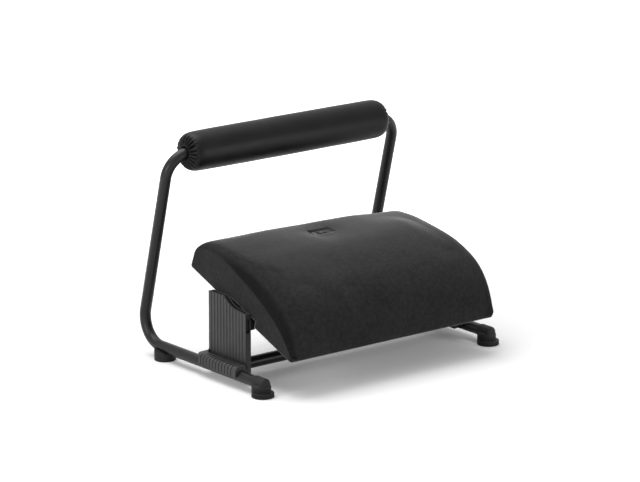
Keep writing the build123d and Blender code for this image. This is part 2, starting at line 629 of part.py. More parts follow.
with BuildPart() as lug_screws:
    lug_under = notch_h - lug_t
    for x, s in lug_screws_at:
        with Locations(Plane(origin=on_base(x, s, lug_under), x_dir=(1, 0, 0), z_dir=upward).location):
            Cylinder(LUG_SCREW_R, lug_t + NOTCH_ROOF - FLUSH, align=(Align.CENTER, Align.CENTER, Align.MIN))
            Cylinder(LUG_SCREW_HEAD_R, LUG_SCREW_HEAD_H, align=(Align.CENTER, Align.CENTER, Align.MAX))
    mirror(about=mirror_plane)
save(lug_screws, "lug_screws")

# Base pan: a ribbed plate with a roofed notch for each hinge and a post for the inlet
pan_inner_l = pan_half_l - PAN_RIB_T
pan_inner_d = pan_half_d - PAN_RIB_T
half_rib = PAN_RIB_T / 2
with BuildPart() as pan_hollow:
    base_block((-pan_inner_l, pan_inner_l), (-pan_inner_d, pan_inner_d), (0, PAN_TOP - PAN_SKIN))
    for x in PAN_RIBS_X:
        rib_x = (x - half_rib, x + half_rib)
        base_block(rib_x, (-half_depth, half_depth), (0, PAN_TOP), mode=Mode.SUBTRACT)
    for s in PAN_RIBS_S:
        rib_s = (s - half_rib, s + half_rib)
        base_block((-half_length, half_length), rib_s, (0, PAN_TOP), mode=Mode.SUBTRACT)

hinge_box_in = notch_in - NOTCH_WALL
hinge_box_d = notch_d / 2 + NOTCH_WALL
hinge_box_top = notch_h + NOTCH_ROOF
post_l, post_t, post_h = INLET_POST
with BuildPart() as pan:
    base_block((-pan_half_l, pan_half_l), (-pan_half_d, pan_half_d), (pan_low, PAN_TOP))
    add(pan_hollow.part, mode=Mode.SUBTRACT)
    for end in (-1, 1):
        box_x = sorted((end * hinge_box_in, end * pan_half_l))
        notch_x = sorted((end * notch_in, end * half_length))
        base_block(box_x, (-hinge_box_d, hinge_box_d), (pan_low, hinge_box_top))
        base_block(notch_x, (-notch_d / 2, notch_d / 2), (0, notch_h), mode=Mode.SUBTRACT)
        for x, s in lug_screws_at:
            roof_spot = on_base(end * -x, s, hinge_box_top)
            with Locations(Plane(origin=roof_spot, x_dir=(1, 0, 0), z_dir=upward).location):
                Hole(LUG_SCREW_R + FIT, depth=NOTCH_ROOF)
    base_block((-post_l / 2, post_l / 2), (inlet_front, inlet_back), (PAN_TOP, PAN_TOP + post_h))
    peg_s(INLET_THREAD_R + FIT, (inlet_front, inlet_back), INLET_H, mode=Mode.SUBTRACT)
save(pan, "base_pan")

# Leads, from the control board to the thermal cut-out and to the inlet
cutout_l, cutout_d, cutout_t = CUTOUT_SIZE
cutout_back = half_depth - CUTOUT_INSET + cutout_d / 2
cutout_front = cutout_back - cutout_d
lead_start = control_plane.from_local_coords((0, -cavity[1] / 4, BOARD_Z - LEAD_R - LEAD_ROOM))
with BuildLine() as heater_path:
    Line(lead_start, on_base(0, cutout_back + LEAD_ROOM, CUTOUT_TOP - cutout_t / 2))
with BuildPart() as heater_lead:
    add(rod(heater_path.line, LEAD_R))
save(heater_lead, "heater_lead")

supply_start = control_plane.from_local_coords((0, cavity[1] / 4, BOARD_Z - FLUSH))
with BuildLine() as supply_path:
    FilletPolyline(
        supply_start,
        on_base(0, half_depth - SUPPLY_BEND[0], SUPPLY_BEND[1]),
        on_base(0, inlet_front - INLET_TAIL - SOFT_GAP, INLET_H),
        radius=SUPPLY_BEND_R,
    )
with BuildPart() as supply_lead:
    add(rod(supply_path.line, LEAD_R))
    control_block(CONTROL_SIZE, (BOARD_Z - FLUSH, 0), mode=Mode.SUBTRACT)
save(supply_lead, "supply_lead")

# Heating mat under the cover, and its thermal cut-out
mat_x = (-MAT_L / 2, MAT_L / 2)
mat_s = (MAT_FRONT - half_depth, half_depth - MAT_REAR)
mat_h = (NOSE_H, 2 * half_depth)
outer_form = cushion_form(0)
cover_form = cushion_form(COVER_T)
mat_form = cushion_form(mat_inset)
mat_under = cushion_form(mat_inset + MAT_T)
foam_form = cushion_form(foam_inset)
with BuildPart() as mat:
    base_block(mat_x, mat_s, mat_h)
    add(mat_form, mode=Mode.INTERSECT)
    add(mat_under, mode=Mode.SUBTRACT)
save(mat, "heater_mat")

with BuildPart() as cutout:
    cutout_h = (CUTOUT_TOP - cutout_t, CUTOUT_TOP)
    base_block((-cutout_l / 2, cutout_l / 2), (cutout_front, cutout_back), cutout_h)
save(cutout, "thermal_cutout")

# Foam block with its pockets and channels
with BuildPart() as mat_pocket:
    base_block(
        (mat_x[0] - SOFT_GAP, mat_x[1] + SOFT_GAP), (mat_s[0] - SOFT_GAP, mat_s[1] + SOFT_GAP), mat_h
    )
    add(foam_form, mode=Mode.SUBTRACT)

with BuildPart() as foam:
    add(mat_form)
    add(mat_pocket.part, mode=Mode.SUBTRACT)
    pan_room = (0, PAN_TOP + SOFT_GAP)
    base_block((-half_length, half_length), (-half_depth, half_depth), pan_room, mode=Mode.SUBTRACT)
    for end in (-1, 1):
        box_x = sorted((end * (hinge_box_in - SOFT_GAP), end * half_length))
        box_d = hinge_box_d + SOFT_GAP
        base_block(box_x, (-box_d, box_d), (0, hinge_box_top + SOFT_GAP), mode=Mode.SUBTRACT)
    base_block(
        (-cutout_l / 2 - SOFT_GAP, cutout_l / 2 + SOFT_GAP),
        (cutout_front - SOFT_GAP, cutout_back + SOFT_GAP),
        (CUTOUT_TOP - cutout_t - SOFT_GAP, 2 * CUTOUT_TOP),
        mode=Mode.SUBTRACT,
    )
    base_block(
        (-post_l / 2 - SOFT_GAP, post_l / 2 + SOFT_GAP),
        (inlet_front - INLET_TAIL - SOFT_GAP, 2 * half_depth),
        (PAN_TOP, PAN_TOP + post_h + SOFT_GAP),
        mode=Mode.SUBTRACT,
    )
    control_block(
        (CONTROL_SIZE[0] + 2 * SOFT_GAP, CONTROL_SIZE[1] + 2 * SOFT_GAP),
        (control_low - SOFT_GAP, CONTROL_DEPTH),
        mode=Mode.SUBTRACT,
    )
    control_block(
        (CONTROL_FLANGE[0] + 2 * SOFT_GAP, CONTROL_FLANGE[1] + 2 * SOFT_GAP),
        (CONTROL_FLANGE_Z - SOFT_GAP, CONTROL_DEPTH),
        mode=Mode.SUBTRACT,
    )
    add(rod(heater_path.line, LEAD_R + LEAD_ROOM), mode=Mode.SUBTRACT)
    add(rod(supply_path.line, LEAD_R + LEAD_ROOM), mode=Mode.SUBTRACT)
save(foam, "cushion_foam")

# Fabric cover: one shell, open under the pan, at the hinges, round the control and at the inlet
window_l = half_length - HEM
window_d = half_depth - HEM
with BuildPart() as cover:
    add(outer_form)
    add(cover_form, mode=Mode.SUBTRACT)
    base_block((-window_l, window_l), (-window_d, window_d), (-COVER_T, 2 * COVER_T), mode=Mode.SUBTRACT)
    for end in (-1, 1):
        notch_x = sorted((end * notch_in, end * 2 * half_length))
        base_block(notch_x, (-notch_d / 2, notch_d / 2), (-notch_h, notch_h + SOFT_GAP), mode=Mode.SUBTRACT)
    control_block(
        (CONTROL_SIZE[0] + 2 * SOFT_GAP, CONTROL_SIZE[1] + 2 * SOFT_GAP),
        (CONTROL_FLANGE_Z, CONTROL_DEPTH),
        mode=Mode.SUBTRACT,
    )
    peg_s(INLET_NOSE_R + SOFT_GAP, (inlet_back, 2 * half_depth), INLET_H, mode=Mode.SUBTRACT)
save(cover, "cushion_cover")

# Control: housing clamped under the cover, back plate, board, switch, button and light guide
bezel_top = -CONTROL_SINK
bezel_low = bezel_top - CONTROL_WALL
lens_ys = [(i - (LENS_COUNT - 1) / 2) * LENS_PITCH for i in range(LENS_COUNT)]
post_x = (cavity[0] - POST) / 2
post_y = (cavity[1] - POST) / 2
corners = [(x, y) for x in (-post_x, post_x) for y in (-post_y, post_y)]
with BuildPart() as housing:
    control_block(CONTROL_SIZE, (control_low, bezel_top))
    control_block(CONTROL_FLANGE[:2], (CONTROL_FLANGE_Z, CONTROL_FLANGE_Z + CONTROL_FLANGE[2]))
    control_block(cavity, (control_low, bezel_low), mode=Mode.SUBTRACT)
    for corner in corners:
        control_block((POST, POST), (board_top, bezel_low), center=corner)
    control_block(BUTTON_SIZE, (bezel_low, 0), mode=Mode.SUBTRACT)
    for y in lens_ys:
        control_peg(LENS_R + FIT, (bezel_low, 0), center=(LENS_X, y), mode=Mode.SUBTRACT)
    add(rod(heater_path.line, LEAD_R + LEAD_ROOM), mode=Mode.SUBTRACT)
save(housing, "control_housing")

with BuildPart() as control_back:
    control_block((cavity[0] - 2 * FIT, cavity[1] - 2 * FIT), (control_low, control_low + BACK_T))
    for corner in corners:
        control_block((POST - 2 * FIT, POST - 2 * FIT), (control_low + BACK_T, BOARD_Z), center=corner)
    add(rod(heater_path.line, LEAD_R + LEAD_ROOM), mode=Mode.SUBTRACT)
    add(rod(supply_path.line, LEAD_R + LEAD_ROOM), mode=Mode.SUBTRACT)
save(control_back, "control_back")

lens_low = board_top + LED_SIZE[2]
with BuildPart() as board:
    control_block((cavity[0] - 2 * BOARD_GAP, cavity[1] - 2 * BOARD_GAP), (BOARD_Z, board_top))
    for y in lens_ys:
        control_block(LED_SIZE[:2], (board_top, lens_low), center=(LENS_X, y))
save(board, "control_board")

switch_top = board_top + SWITCH_SIZE[2]
with BuildPart() as switch:
    control_block(SWITCH_SIZE[:2], (board_top, switch_top))
    control_peg(PLUNGER_R, (switch_top, switch_top + PLUNGER_L))
save(switch, "button_switch")

lip_top = bezel_low - BUTTON_LIP_GAP
cap = (BUTTON_SIZE[0] - 2 * BUTTON_GAP, BUTTON_SIZE[1] - 2 * BUTTON_GAP)
stem_low = switch_top + PLUNGER_L + BUTTON_TRAVEL + BUTTON_REST
with BuildPart() as button:
    control_block(cap, (lip_top, BUTTON_TOP))
    cap_top = button.faces().sort_by(Axis(control_plane.origin, control_up))[-1]
    fillet(cap_top.edges(), CAP_ROUND)
    control_block((cap[0] + 2 * BUTTON_LIP, cap[1] + 2 * BUTTON_LIP), (lip_top - BUTTON_LIP_T, lip_top))
    control_peg(STEM_R, (stem_low, lip_top - BUTTON_LIP_T))
save(button, "power_button")

with BuildPart() as lens:
    for y in lens_ys:
        control_peg(LENS_R, (lens_low, bezel_top), center=(LENS_X, y))
    control_block(LENS_BAR[:2], (bezel_low - LENS_BAR[2], bezel_low), center=(LENS_X, 0))
save(lens, "indicator_lens")

# Power inlet and the nut that clamps it to the pan's post
nose_end = half_depth
bore_bottom = nose_end - INLET_BORE_L
with BuildPart() as inlet:
    peg_s(INLET_THREAD_R, (inlet_front - INLET_TAIL, inlet_back), INLET_H)
    peg_s(INLET_FLANGE_R, (inlet_back, inlet_back + INLET_FLANGE_T), INLET_H)
    peg_s(INLET_NOSE_R, (inlet_back, nose_end), INLET_H)
    peg_s(INLET_BORE_R, (bore_bottom, nose_end), INLET_H, mode=Mode.SUBTRACT)
    peg_s(INLET_PIN_R, (bore_bottom, nose_end - INLET_FLANGE_T), INLET_H)
save(inlet, "power_inlet")

with BuildPart() as nut:
    with BuildSketch(Plane(origin=on_base(0, inlet_front, INLET_H), x_dir=(1, 0, 0), z_dir=along)):
        RegularPolygon(NUT_R, 6)
        Circle(INLET_THREAD_R + FIT, mode=Mode.SUBTRACT)
    extrude(amount=-NUT_T)
save(nut, "inlet_nut")

# Padded roll on the top bar: core, foam, gathered cover and the elastics in its two ends
bar_plane = Plane(origin=(0, BAR_Y, BAR_Z), x_dir=(1, 0, 0), z_dir=(0, -1, 0))
core_bore = tube_r + RUN_GAP
core_r = core_bore + CORE_WALL
mouth_r = core_r + SOFT_GAP
half_core = half_frame - TOP_BEND_R - CORE_END_GAP
half_roll = half_core + ROLL_OVERHANG


def roll_form(inset):
    """The roll's outer form, or the same form moved in by an inset on every side."""
    end = half_roll - inset
    mouth = end - ROLL_DIMPLE
    rim = ROLL_END_R - ROLL_ROUND
    bend = ROLL_ROUND - inset
    turn = bend * cos(radians(45))
    shoulder = end - bend
    with BuildPart() as form:
        with BuildSketch(bar_plane):
            with BuildLine():
                Polyline((-end, rim), (-mouth, mouth_r), (-mouth, 0), (mouth, 0))
                Polyline((mouth, 0), (mouth, mouth_r), (end, rim))
                ThreePointArc((end, rim), (shoulder + turn, rim + turn), (shoulder, rim + bend))
                ThreePointArc((shoulder, rim + bend), (0, ROLL_R - inset), (-shoulder, rim + bend))
                ThreePointArc((-shoulder, rim + bend), (-shoulder - turn, rim + turn), (-end, rim))
            make_face()
        revolve(axis=bar_axis)
    return form.part


with BuildPart() as core:
    peg_x(core_r, (-half_core, half_core), BAR_Y, BAR_Z)
    peg_x(core_bore, (-half_core, half_core), BAR_Y, BAR_Z, mode=Mode.SUBTRACT)
save(core, "roll_core")

elastic_ring = mouth_r + 2 * ELASTIC_R
elastic_x = half_roll - ROLL_DIMPLE - ROLL_COVER_T - ELASTIC_R - SOFT_GAP
with BuildPart() as elastics:
    with Locations(Plane(origin=(-elastic_x, BAR_Y, BAR_Z), x_dir=(0, 1, 0), z_dir=(1, 0, 0)).location):
        Torus(elastic_ring, ELASTIC_R)
    mirror(about=mirror_plane)
save(elastics, "roll_elastics")

outer_roll = roll_form(0)
inner_roll = roll_form(ROLL_COVER_T)
foam_roll = roll_form(ROLL_COVER_T + SOFT_GAP)
groove_r = elastic_ring + ELASTIC_R + SOFT_GAP
groove_x = elastic_x - ELASTIC_R - SOFT_GAP
with BuildPart() as roll_foam:
    add(foam_roll)
    peg_x(mouth_r, (-half_roll, half_roll), BAR_Y, BAR_Z, mode=Mode.SUBTRACT)
    peg_x(groove_r, (groove_x, half_roll), BAR_Y, BAR_Z, mode=Mode.SUBTRACT)
    peg_x(groove_r, (-half_roll, -groove_x), BAR_Y, BAR_Z, mode=Mode.SUBTRACT)
save(roll_foam, "roll_foam")

with BuildPart() as roll_cover:
    add(outer_roll)
    add(inner_roll, mode=Mode.SUBTRACT)
    peg_x(mouth_r, (-half_roll, half_roll), BAR_Y, BAR_Z, mode=Mode.SUBTRACT)
save(roll_cover, "roll_cover")
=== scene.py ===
import math
import bmesh
import bpy
from mathutils import Matrix, Vector, noise


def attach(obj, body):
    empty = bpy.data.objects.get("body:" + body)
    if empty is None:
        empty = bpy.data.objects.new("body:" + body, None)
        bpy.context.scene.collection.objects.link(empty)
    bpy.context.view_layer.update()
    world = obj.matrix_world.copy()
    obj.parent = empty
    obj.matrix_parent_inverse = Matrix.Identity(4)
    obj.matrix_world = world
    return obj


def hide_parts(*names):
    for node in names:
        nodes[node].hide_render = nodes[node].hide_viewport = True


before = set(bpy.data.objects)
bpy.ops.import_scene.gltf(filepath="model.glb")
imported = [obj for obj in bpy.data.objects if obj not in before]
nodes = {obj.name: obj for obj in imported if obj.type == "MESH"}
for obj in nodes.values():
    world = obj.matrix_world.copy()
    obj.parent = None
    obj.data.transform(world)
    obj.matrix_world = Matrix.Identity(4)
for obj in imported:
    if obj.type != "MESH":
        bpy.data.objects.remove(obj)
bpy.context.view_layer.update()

scene = bpy.context.scene
MM = 0.001

# Cushion, in millimetres along X, along its base (s) and square to its base (h), as in the part
HALF_LENGTH = 216.0
HALF_DEPTH = 143.0
TILT = math.radians(21.4)
BASE_MIDDLE = Vector((0.0, -50.214, 111.842))
NOSE_H = 8.0
END_PANEL = {"front": (-62.0, 49.0), "rear": (50.0, 62.0), "fall": 0.0, "corner": (137.0, 36.6), "wall": 25.6}
CROWN = {"front": (-62.0, 84.0), "rear": (50.0, 75.0), "fall": 13.5, "corner": (126.0, 52.5), "wall": 28.0}
SHOULDER = [(0, 0), (5, 0.36), (9, 0.55), (14, 0.70), (22, 0.84), (34, 0.93), (52, 0.975), (110, 1)]
REAR_SHOULDER = [(0, 0), (2, 0.36), (5, 0.66), (9, 0.86), (15, 0.97), (24, 1), (110, 1)]
RIGHT_SHOULDER = [(0, 0), (2.5, 0.35), (5, 0.6), (9, 0.79), (15, 0.91), (25, 0.97), (45, 0.99), (110, 1)]
RIGHT_REAR_SHOULDER = [(0, 0), (3, 0.36), (6, 0.6), (10, 0.77), (16, 0.88),
                       (26, 0.95), (45, 0.985), (110, 1)]
NOSE_CORNER_R = 6.0
ARC_ENDS = (0.0, 0.32, 0.66, 0.91, 1.0)  # shares of the way over at the ends of the profile's arcs
COVER_T = 2.0
HEM = 20.0
NOTCH = (182.0, 40.0, 14.3)  # inner X, half length along the base, height
CONTROL = Vector((0.0, 8.37, 204.34))
CONTROL_UP = Vector((0.0, -0.0855642756, 0.9963326527))
CONTROL_S = 88.3
CONTROL_OPENING = (44.2, 22.2)
CONTROL_REACH = 9.0  # how far above and below the control's face its opening is cut
CONTROL_TUCK = 4.0  # the cover's edge is turned down this far round the control
CONTROL_HELD = 6.0  # the cover is held this far round the control
INLET_H = 24.0
INLET_R = 6.3
INLET_DEPTH = 6.0
INLET_SIDES = 12
CUT_ROOM = 12.0  # faces this near to an opening are cut along its edges

# Roll on the top bar: radii along its body and over its gathered end, a little proud of the part's
BAR = Vector((0.0, 107.0, 352.0))
ROLL_R = 33.7
ROLL_END = [
    (180.0, 33.2), (187.0, 33.0), (193.0, 32.4), (198.0, 31.1), (202.0, 29.1), (205.2, 26.4), (207.4, 23.0),
    (208.8, 19.0), (209.4, 15.4), (209.5, 12.6), (208.7, 10.8), (206.4, 10.0), (199.5, 10.0),
]
ROLL_COVER_T = 1.2
ROLL_MOUTH_R = 10.0
ROLL_PLEATS = 22
PLEAT_STEPS = 12
PLEAT_DEPTH = 4.6
PLEATED = (26.0, 31.0)  # radii where the pleats are deepest and where they run out
PLEAT_GROWTH = (0.12, 8.0)  # share of the depth at the mouth, and how far from it they are full
PLEAT_SHIFT = 0.8
PLEAT_VARIES = 0.6
PLEAT_SHARPNESS = 0.7
ROLL_LIE = 0.3  # unevenness of the cover's body

base_to_frame = (
    Matrix.Scale(MM, 4) @ Matrix.Translation(BASE_MIDDLE) @ Matrix.Rotation(TILT, 4, "X")
)


# ---- materials -------------------------------------------------------------------------------

def linear(code):
    """Linear colour of an sRGB hex value."""
    parts = [int(code[i:i + 2], 16) / 255 for i in (1, 3, 5)]
    return tuple(c / 12.92 if c <= 0.04045 else ((c + 0.055) / 1.055) ** 2.4 for c in parts) + (1.0,)


def add(tree, kind, settings=None, links=None):
    """Adds a node with its settings and links."""
    made = tree.nodes.new(kind)
    for name, value in (settings or {}).items():
        if name == "stops":
            for stop, (at, code) in zip(made.color_ramp.elements, value):
                stop.position, stop.color = at, linear(code)
        elif isinstance(name, int) or name in made.inputs:
            made.inputs[name].default_value = value
        else:
            setattr(made, name, value)
    for name, source in (links or {}).items():
        tree.links.new(source, made.inputs[name])
    return made


def start(name):
    """A new material's node tree, its shader and its Object coordinates."""
    material = bpy.data.materials.new(name)
    material.use_nodes = True
    tree = material.node_tree
    shader = tree.nodes["Principled BSDF"]
    place = tree.nodes.new("ShaderNodeTexCoord").outputs["Object"]
    return material, tree, shader, place


def moulded(name, low, high, roughness, grain_mm, relief_mm, edge_mm=0.4, specular=0.5):
    """Moulded or coated finish: two near colours in soft clouds, a fine grain and softened edges."""
    material, tree, shader, place = start(name)
    shader.inputs["Specular IOR Level"].default_value = specular
    clouds = add(tree, "ShaderNodeTexNoise", {"Scale": 1 / (40 * MM), "Detail": 3.0}, {"Vector": place})
    grain = add(tree, "ShaderNodeTexNoise", {"Scale": 1 / (grain_mm * MM), "Detail": 2.0}, {"Vector": place})
    colour = add(
        tree, "ShaderNodeValToRGB", {"stops": ((0.3, low), (0.7, high))}, {"Fac": clouds.outputs["Fac"]}
    )
    tree.links.new(colour.outputs["Color"], shader.inputs["Base Color"])
    rough = add(
        tree, "ShaderNodeMapRange",
        {"From Min": 0.3, "From Max": 0.7, "To Min": roughness - 0.05, "To Max": roughness + 0.05},
        {"Value": grain.outputs["Fac"]},
    )
    tree.links.new(rough.outputs["Result"], shader.inputs["Roughness"])
    edge = add(tree, "ShaderNodeBevel", {"samples": 4, "Radius": edge_mm * MM})
    bump = add(
        tree, "ShaderNodeBump", {"Strength": 1.0, "Distance": relief_mm * MM},
        {"Height": grain.outputs["Fac"], "Normal": edge.outputs["Normal"]},
    )
    tree.links.new(bump.outputs["Normal"], shader.inputs["Normal"])
    return material


# Powder coat on steel tube: black, half gloss, with a faint orange peel about 1.5 mm across
frame_coat = moulded("powder_coated_steel", "#121212", "#171717", 0.36, 1.5, 0.03, specular=0.28)

# Glass-filled nylon brackets: dark grey, a fine spark-eroded grain that dulls the highlight
bracket_plastic = moulded("moulded_nylon_grey", "#2F2F2F", "#383838", 0.5, 0.9, 0.05, specular=0.33)

# Moulded rubber feet: matt black with a dusty bloom
foot_rubber = moulded("moulded_rubber", "#161616", "#1E1E1E", 0.6, 0.7, 0.05, specular=0.25)

# Acetal hinge pieces: black, smooth and slightly waxy; darkened past the plastic's own black as painted shade
# for the gap between bracket and cushion
shaded_hinge_plastic = moulded("acetal_black_painted_shade", "#060606", "#0A0A0A", 0.45, 1.2, 0.02, specular=0.08)

# Polypropylene pan: black, satin, with a coarse texture
pan_plastic = moulded("polypropylene_black", "#17181A", "#202124", 0.55, 1.0, 0.06)

# Polished ABS bezel: black and glossy
control_gloss = moulded("polished_abs_black", "#0C0C0C", "#121212", 0.3, 2.0, 0.01, 0.25, specular=0.12)

# ABS inside the control: dark grey, half matt
control_plastic = moulded("abs_dark", "#1C1D20", "#26272A", 0.45, 0.9, 0.03, 0.2)

# Inlet: glossy black phenolic
inlet_plastic = moulded("phenolic_black", "#0E0E0F", "#151516", 0.3, 1.2, 0.02, 0.3)

# Vulcanised fibre washer: dull dark red-brown sheet
washer_fibre = moulded("vulcanised_fibre", "#3A2620", "#4A3028", 0.7, 0.8, 0.04, 0.1)

# Thermal cut-out: pale ceramic-filled resin
cutout_plastic = moulded("cutout_resin", "#C9C4B6", "#DAD6C9", 0.5, 0.8, 0.04, 0.3)

# Silicone leads: soft grey-white sleeve
lead_rubber = moulded("silicone_sleeve", "#B9B7B2", "#CFCDC8", 0.5, 1.0, 0.03, 0.1)

# PVC core tube: grey, extruded
core_plastic = moulded("pvc_grey", "#6E7073", "#7C7E81", 0.45, 1.4, 0.03, 0.2)

# Covered elastic cord: off-black woven sleeve
elastic_rubber = moulded("covered_elastic", "#1A1A1B", "#2A2A2B", 0.8, 0.6, 0.1, 0.1)


def turned_metal(name, low, high, roughness):
    """Bare or plated metal with fine turning lines."""
    material, tree, shader, place = start(name)
    stretch = add(tree, "ShaderNodeMapping", {"Scale": (1.0, 14.0, 14.0)}, {"Vector": place})
    lines = add(
        tree, "ShaderNodeTexNoise", {"Scale": 1 / (6 * MM), "Detail": 3.0},
        {"Vector": stretch.outputs["Vector"]},
    )
    colour = add(
        tree, "ShaderNodeValToRGB", {"stops": ((0.3, low), (0.7, high))}, {"Fac": lines.outputs["Fac"]}
    )
    tree.links.new(colour.outputs["Color"], shader.inputs["Base Color"])
    rough = add(
        tree, "ShaderNodeMapRange", {"To Min": roughness - 0.08, "To Max": roughness + 0.08},
        {"Value": lines.outputs["Fac"]},
    )
    tree.links.new(rough.outputs["Result"], shader.inputs["Roughness"])
    shader.inputs["Metallic"].default_value = 1.0
    edge = add(tree, "ShaderNodeBevel", {"samples": 4, "Radius": 0.25 * MM})
    tree.links.new(edge.outputs["Normal"], shader.inputs["Normal"])
    return material


# Black-zinc screws and bolts: dark, with a dull metal glint
fastener_steel = turned_metal("black_zinc_steel", "#4A4B4E", "#5C5E62", 0.38)
# Bright drawn steel sleeve inside the bar
joiner_steel = turned_metal("bright_steel", "#8E9094", "#A6A8AC", 0.32)
# Brass inserts: yellow, knurled in the plastic
insert_brass = turned_metal("brass", "#B08D48", "#C9A862", 0.3)


def velvet_cloth():
    """Short-pile polyester velvet: near black face on and pale at grazing angles, clouded where the nap lies
    over, with painted shade beside the end seams and painted sheen along the heel."""
    material, tree, shader, place = start("polyester_velvet")
    # nap brushed this way and that, in patches about 60 mm across
    lay = add(
        tree, "ShaderNodeTexNoise",
        {"Scale": 1 / (60 * MM), "Detail": 4.0, "Roughness": 0.62, "Distortion": 0.6},
        {"Vector": place},
    )
    # tufts about 7 mm across, drawn coarser than the real 0.5 mm pile so that they show
    tufts = add(
        tree, "ShaderNodeTexNoise", {"Scale": 1 / (7 * MM), "Detail": 4.0, "Roughness": 0.7},
        {"Vector": place},
    )
    pile = add(tree, "ShaderNodeTexNoise", {"Scale": 1 / (1.1 * MM), "Detail": 3.0}, {"Vector": place})
    mixed = add(
        tree, "ShaderNodeMix", {"data_type": "FLOAT", "Factor": 0.6},
        {"A": lay.outputs["Fac"], "B": tufts.outputs["Fac"]},
    )
    # painted shade beside the end seams, in a ragged band: a darker base colour and less sheen where the
    # shoulders turn from the end panels
    painted_seam_shade = add(tree, "ShaderNodeAttribute", {"attribute_name": "painted_seam_shade"})
    ragged = add(
        tree, "ShaderNodeMath", {"operation": "MULTIPLY_ADD", 1: 0.5},
        {0: tufts.outputs["Fac"], 2: painted_seam_shade.outputs["Fac"]},
    )
    band = add(
        tree, "ShaderNodeMapRange", {"From Min": 0.45, "From Max": 0.9, "To Min": 0.0, "To Max": 0.26},
        {"Value": ragged.outputs["Value"]},
    )
    shaded = add(
        tree, "ShaderNodeMath", {"operation": "SUBTRACT"},
        {0: mixed.outputs["Result"], 1: band.outputs["Result"]},
    )
    dark = add(
        tree, "ShaderNodeValToRGB", {"stops": ((0.28, "#181818"), (0.72, "#2F2F2F"))},
        {"Fac": shaded.outputs["Value"]},
    )
    # painted sheen along the heel: the base colour is made paler where the rear of the crown catches the
    # light
    painted_heel_sheen = add(tree, "ShaderNodeAttribute", {"attribute_name": "painted_heel_sheen"})
    colour = add(
        tree, "ShaderNodeMixRGB", {"Color2": linear("#5A5A5A")},
        {"Fac": painted_heel_sheen.outputs["Fac"], "Color1": dark.outputs["Color"]},
    )
    tree.links.new(colour.outputs["Color"], shader.inputs["Base Color"])
    shader.inputs["Roughness"].default_value = 0.9
    shader.inputs["Specular IOR Level"].default_value = 0.06
    # the sheen is weakened in the same ragged band, painted shade that dims the bright rim along the ends
    sheen = add(
        tree, "ShaderNodeMapRange", {"From Min": 0.45, "From Max": 0.95, "To Min": 1.0, "To Max": 0.12},
        {"Value": ragged.outputs["Value"]},
    )
    tree.links.new(sheen.outputs["Result"], shader.inputs["Sheen Weight"])
    shader.inputs["Sheen Roughness"].default_value = 0.32
    shader.inputs["Sheen Tint"].default_value = linear("#CCCCCC")
    relief = add(
        tree, "ShaderNodeMix", {"data_type": "FLOAT", "Factor": 0.5},
        {"A": tufts.outputs["Fac"], "B": pile.outputs["Fac"]},
    )
    bump = add(
        tree, "ShaderNodeBump", {"Strength": 0.8, "Distance": 0.5 * MM}, {"Height": relief.outputs["Result"]}
    )
    tree.links.new(bump.outputs["Normal"], shader.inputs["Normal"])
    return material


def faux_leather_skin():
    """Smooth polyurethane leathercloth: black, satin, with a fine pebble and a few soft creases."""
    material, tree, shader, place = start("pu_leathercloth")
    pebble = add(tree, "ShaderNodeTexVoronoi", {"Scale": 1 / (1.6 * MM)}, {"Vector": place})
    clouds = add(tree, "ShaderNodeTexNoise", {"Scale": 1 / (35 * MM), "Detail": 4.0}, {"Vector": place})
    colour = add(
        tree, "ShaderNodeValToRGB", {"stops": ((0.3, "#0C0C0C"), (0.7, "#121212"))},
        {"Fac": clouds.outputs["Fac"]},
    )
    tree.links.new(colour.outputs["Color"], shader.inputs["Base Color"])
    rough = add(
        tree, "ShaderNodeMapRange", {"From Min": 0.3, "From Max": 0.7, "To Min": 0.38, "To Max": 0.48},
        {"Value": clouds.outputs["Fac"]},
    )
    tree.links.new(rough.outputs["Result"], shader.inputs["Roughness"])
    shader.inputs["Specular IOR Level"].default_value = 0.15
    fine = add(
        tree, "ShaderNodeBump", {"Strength": 0.35, "Distance": 0.12 * MM},
        {"Height": pebble.outputs["Distance"]},
    )
    soft = add(
        tree, "ShaderNodeBump", {"Strength": 0.5, "Distance": 0.8 * MM},
        {"Height": clouds.outputs["Fac"], "Normal": fine.outputs["Normal"]},
    )
    tree.links.new(soft.outputs["Normal"], shader.inputs["Normal"])
    return material


def cut_foam():
    """Cut polyurethane foam: pale grey with open cells about 1.8 mm across."""
    material, tree, shader, place = start("polyurethane_foam")
    cells = add(tree, "ShaderNodeTexVoronoi", {"Scale": 1 / (1.8 * MM)}, {"Vector": place})
    colour = add(
        tree, "ShaderNodeValToRGB", {"stops": ((0.0, "#8A8A86"), (1.0, "#D8D7D0"))},
        {"Fac": cells.outputs["Distance"]},
    )
    tree.links.new(colour.outputs["Color"], shader.inputs["Base Color"])
    shader.inputs["Roughness"].default_value = 0.95
    bump = add(
        tree, "ShaderNodeBump", {"Strength": 0.8, "Distance": 0.6 * MM}, {"Height": cells.outputs["Distance"]}
    )
    tree.links.new(bump.outputs["Normal"], shader.inputs["Normal"])
    return material


